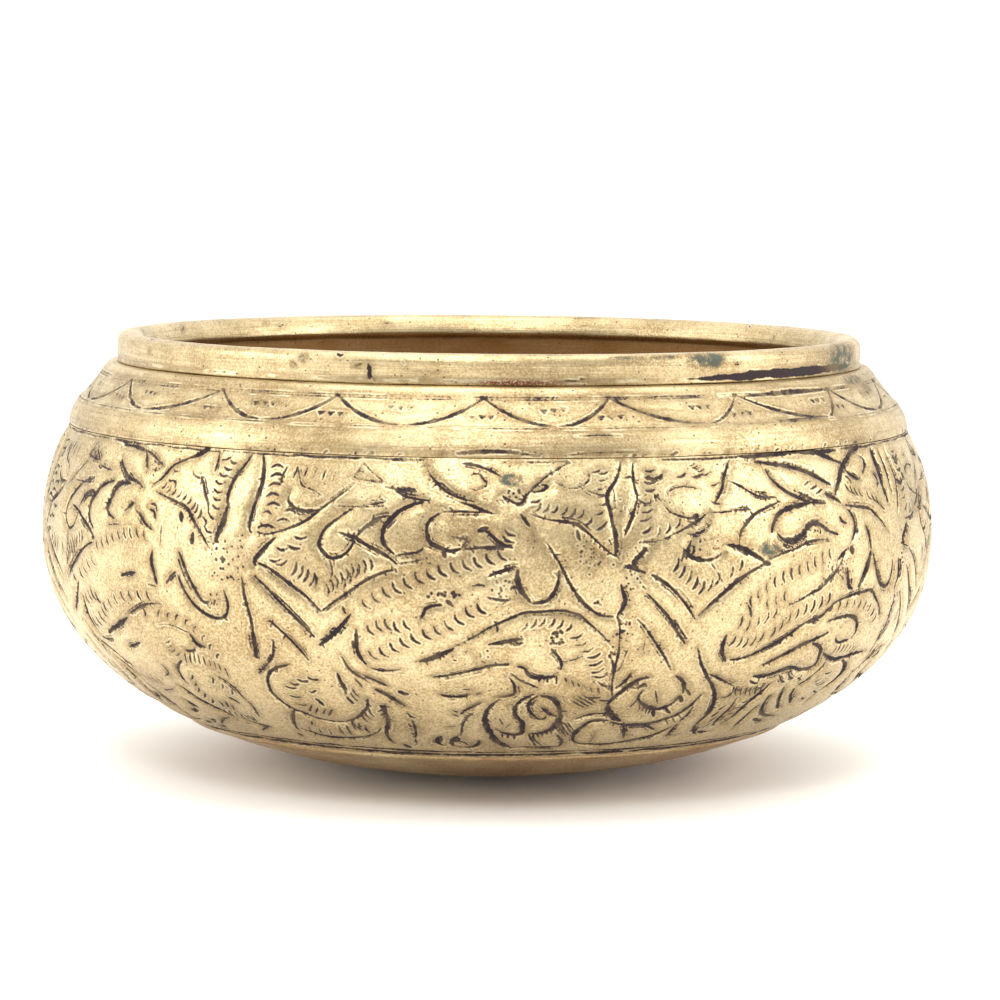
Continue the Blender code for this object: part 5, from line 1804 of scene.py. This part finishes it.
def brass(name, film=0.0, marks=0.5, foot_film_and_shade=0.0, fill=0.8, reach=0.05, grain=1.0, brown=BROWN):
    """One piece's brass. film shifts the amount of brown film, marks is the strength of the turning
    marks, foot_film_and_shade adds brown film towards the foot, as patina and as painted shade, and
    below zero thins it there and paints the foot lighter; fill is how full of tarnish the emptiest cuts
    are, reach widens that tarnish, grain is the strength of the fine roughness left by years of polish,
    and brown is the film's colour."""
    material = bpy.data.materials.new(name)
    material.use_nodes = True
    w = Wiring(material.node_tree)
    shader = material.node_tree.nodes["Principled BSDF"]
    shader.inputs["Specular IOR Level"].default_value = 0.3
    place = w.node("ShaderNodeTexCoord").outputs["Object"]
    cut_edge, green, red, inside_shade = (
        w.node("ShaderNodeAttribute", attribute_name=mark).outputs["Fac"]
        for mark in ("cut", "verdigris", "copper", "inside"))
    ring = group_node(w, RING, {"Place": place})
    # Film changes towards the foot by foot_film_and_shade, as patina and as painted shade; below zero it
    # thins the film and paints the foot lighter
    amount = w.span(ring["Height"], 52.0, 6.0, film, film + foot_film_and_shade)
    film_here = group_node(w, FILM, {"Place": place, "Amount": amount})["Film"]
    tarnish = group_node(w, TARNISH, {"Place": place, "Cut": cut_edge, "Reach": reach})
    pit = group_node(w, PITS, {"Place": place, "Scale": 900.0})["Pit"]
    streaks = w.noise(ring["Along Marks"], 1.0, 4.0, 0.6)
    tone = w.noise(place, 70.0, 5.0, 0.6)
    grains = w.noise(place, 2300.0, 3.0, 0.75)

    colour = w.blend(w.span(tone, 0.35, 0.68), BRIGHT, WARM)
    colour = w.blend(w.calc("MULTIPLY", w.span(streaks, 0.50, 0.68), 0.50 * marks), colour, BROWN)
    colour = w.blend(w.calc("MULTIPLY", w.span(streaks, 0.48, 0.34), 0.55 * marks), colour, PALE)
    colour = w.blend(w.calc("MULTIPLY", film_here, 0.80), colour, brown)
    colour = w.blend(w.span(grains, 0.50, 0.62, 0.0, 0.70 * grain), colour, BROWN)
    colour = w.blend(w.span(grains, 0.49, 0.40, 0.0, 0.65 * grain), colour, PALE)
    # brown stain by the cuts, which also paints shade in the hollows beside them
    colour = w.blend(w.calc("MULTIPLY", tarnish["Stain And Shade"], 0.46), colour, BROWN)
    # painted highlight along the cuts' edges
    colour = w.blend(w.calc("MULTIPLY", tarnish["Edge Highlight"], 0.65), colour, PALE)
    colour = w.blend(w.calc("MULTIPLY", pit, 0.75), colour, PACKED)
    # painted shade: every point marked inside is darkened towards SHADED brown
    colour = w.blend(w.calc("MULTIPLY", inside_shade, w.span(tone, 0.30, 0.62, 0.97, 0.80)), colour, SHADED)
    colour = w.blend(w.calc("MULTIPLY", red, w.span(grains, 0.35, 0.55)), colour, COPPER)
    patchy = w.span(w.noise(place, 330.0, 3.0, 0.6), 0.32, 0.58, fill, 1.0)
    dirt = w.calc("MULTIPLY", tarnish["Packed"], patchy)
    colour = w.blend(dirt, colour, PACKED)
    halo = w.calc("MULTIPLY", w.span(green, 0.02, 0.45), w.span(grains, 0.35, 0.55, 0.2, 0.75))
    colour = w.blend(halo, colour, BROWN)
    mottled = w.calc("MULTIPLY", w.span(green, 0.2, 0.8), w.span(w.noise(place, 420.0, 3.0, 0.6), 0.35, 0.62))
    colour = w.blend(w.calc("MINIMUM", mottled, 0.9), colour, VERDIGRIS)
    w.put(shader.inputs["Base Color"], colour)

    dull = w.calc("MAXIMUM", dirt, w.calc("MINIMUM", mottled, 1.0))
    # the painted-shade insides are also made half dull
    dull = w.calc("MAXIMUM", dull, w.calc("MULTIPLY", inside_shade, 0.50))
    w.put(shader.inputs["Metallic"], w.calc("SUBTRACT", 1.0, w.calc("MULTIPLY", dull, 0.95)))
    rough = w.calc("MULTIPLY_ADD", film_here, 0.12, w.span(grains, 0.3, 0.7, 0.31, 0.47))
    w.put(shader.inputs["Roughness"], w.between(dull, rough, 0.85))

    height = w.calc("MULTIPLY_ADD", streaks, marks, w.calc("MULTIPLY", grains, -1.1 * grain))
    height = w.calc("MULTIPLY_ADD", w.noise(place, 430.0, 3.0, 0.6), 1.4 * grain, height)
    height = w.calc("MULTIPLY_ADD", pit, -0.8, height)
    bump = w.node("ShaderNodeBump", {"Height": height, "Strength": 0.6, "Distance": 0.00012})
    w.put(shader.inputs["Normal"], bump.outputs["Normal"])
    return material


# foot_film_and_shade paints the frieze's foot lighter and the base's foot darker brown
BRASSES = {
    "frieze_brass": brass("frieze_brass", film=0.07, marks=0.15, foot_film_and_shade=-0.12, fill=0.80, grain=0.75),
    "shoulder_brass": brass("shoulder_brass", film=0.22, marks=0.9, fill=0.40, reach=0.02, grain=0.5),
    "collar_brass": brass("collar_brass", film=0.16, marks=0.8, fill=1.0, grain=0.5),
    "base_brass": brass("base_brass", film=0.02, marks=0.9, foot_film_and_shade=0.24, grain=0.35, brown=RED_BROWN),
    "braze": brass("braze", film=0.30, marks=0.0),
}
print("materials:", ", ".join(BRASSES))

# %% Which solid each piece stands for
PARTS = [
    (shoulder, "shoulder_ring", "shoulder_brass"),
    (collar, "rim_collar", "collar_brass"),
    (dish, "base_dish", "base_brass"),
    *((panel, "frieze_wall", "frieze_brass") for panel in panels),
    *((ring, ring.name.removeprefix("bead_"), "braze") for ring in beads),
]
for piece, solid, slot in PARTS:
    piece.data.materials.append(BRASSES[slot])
    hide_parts(solid)
    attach(piece, "root")
print(len(PARTS), "pieces placed")
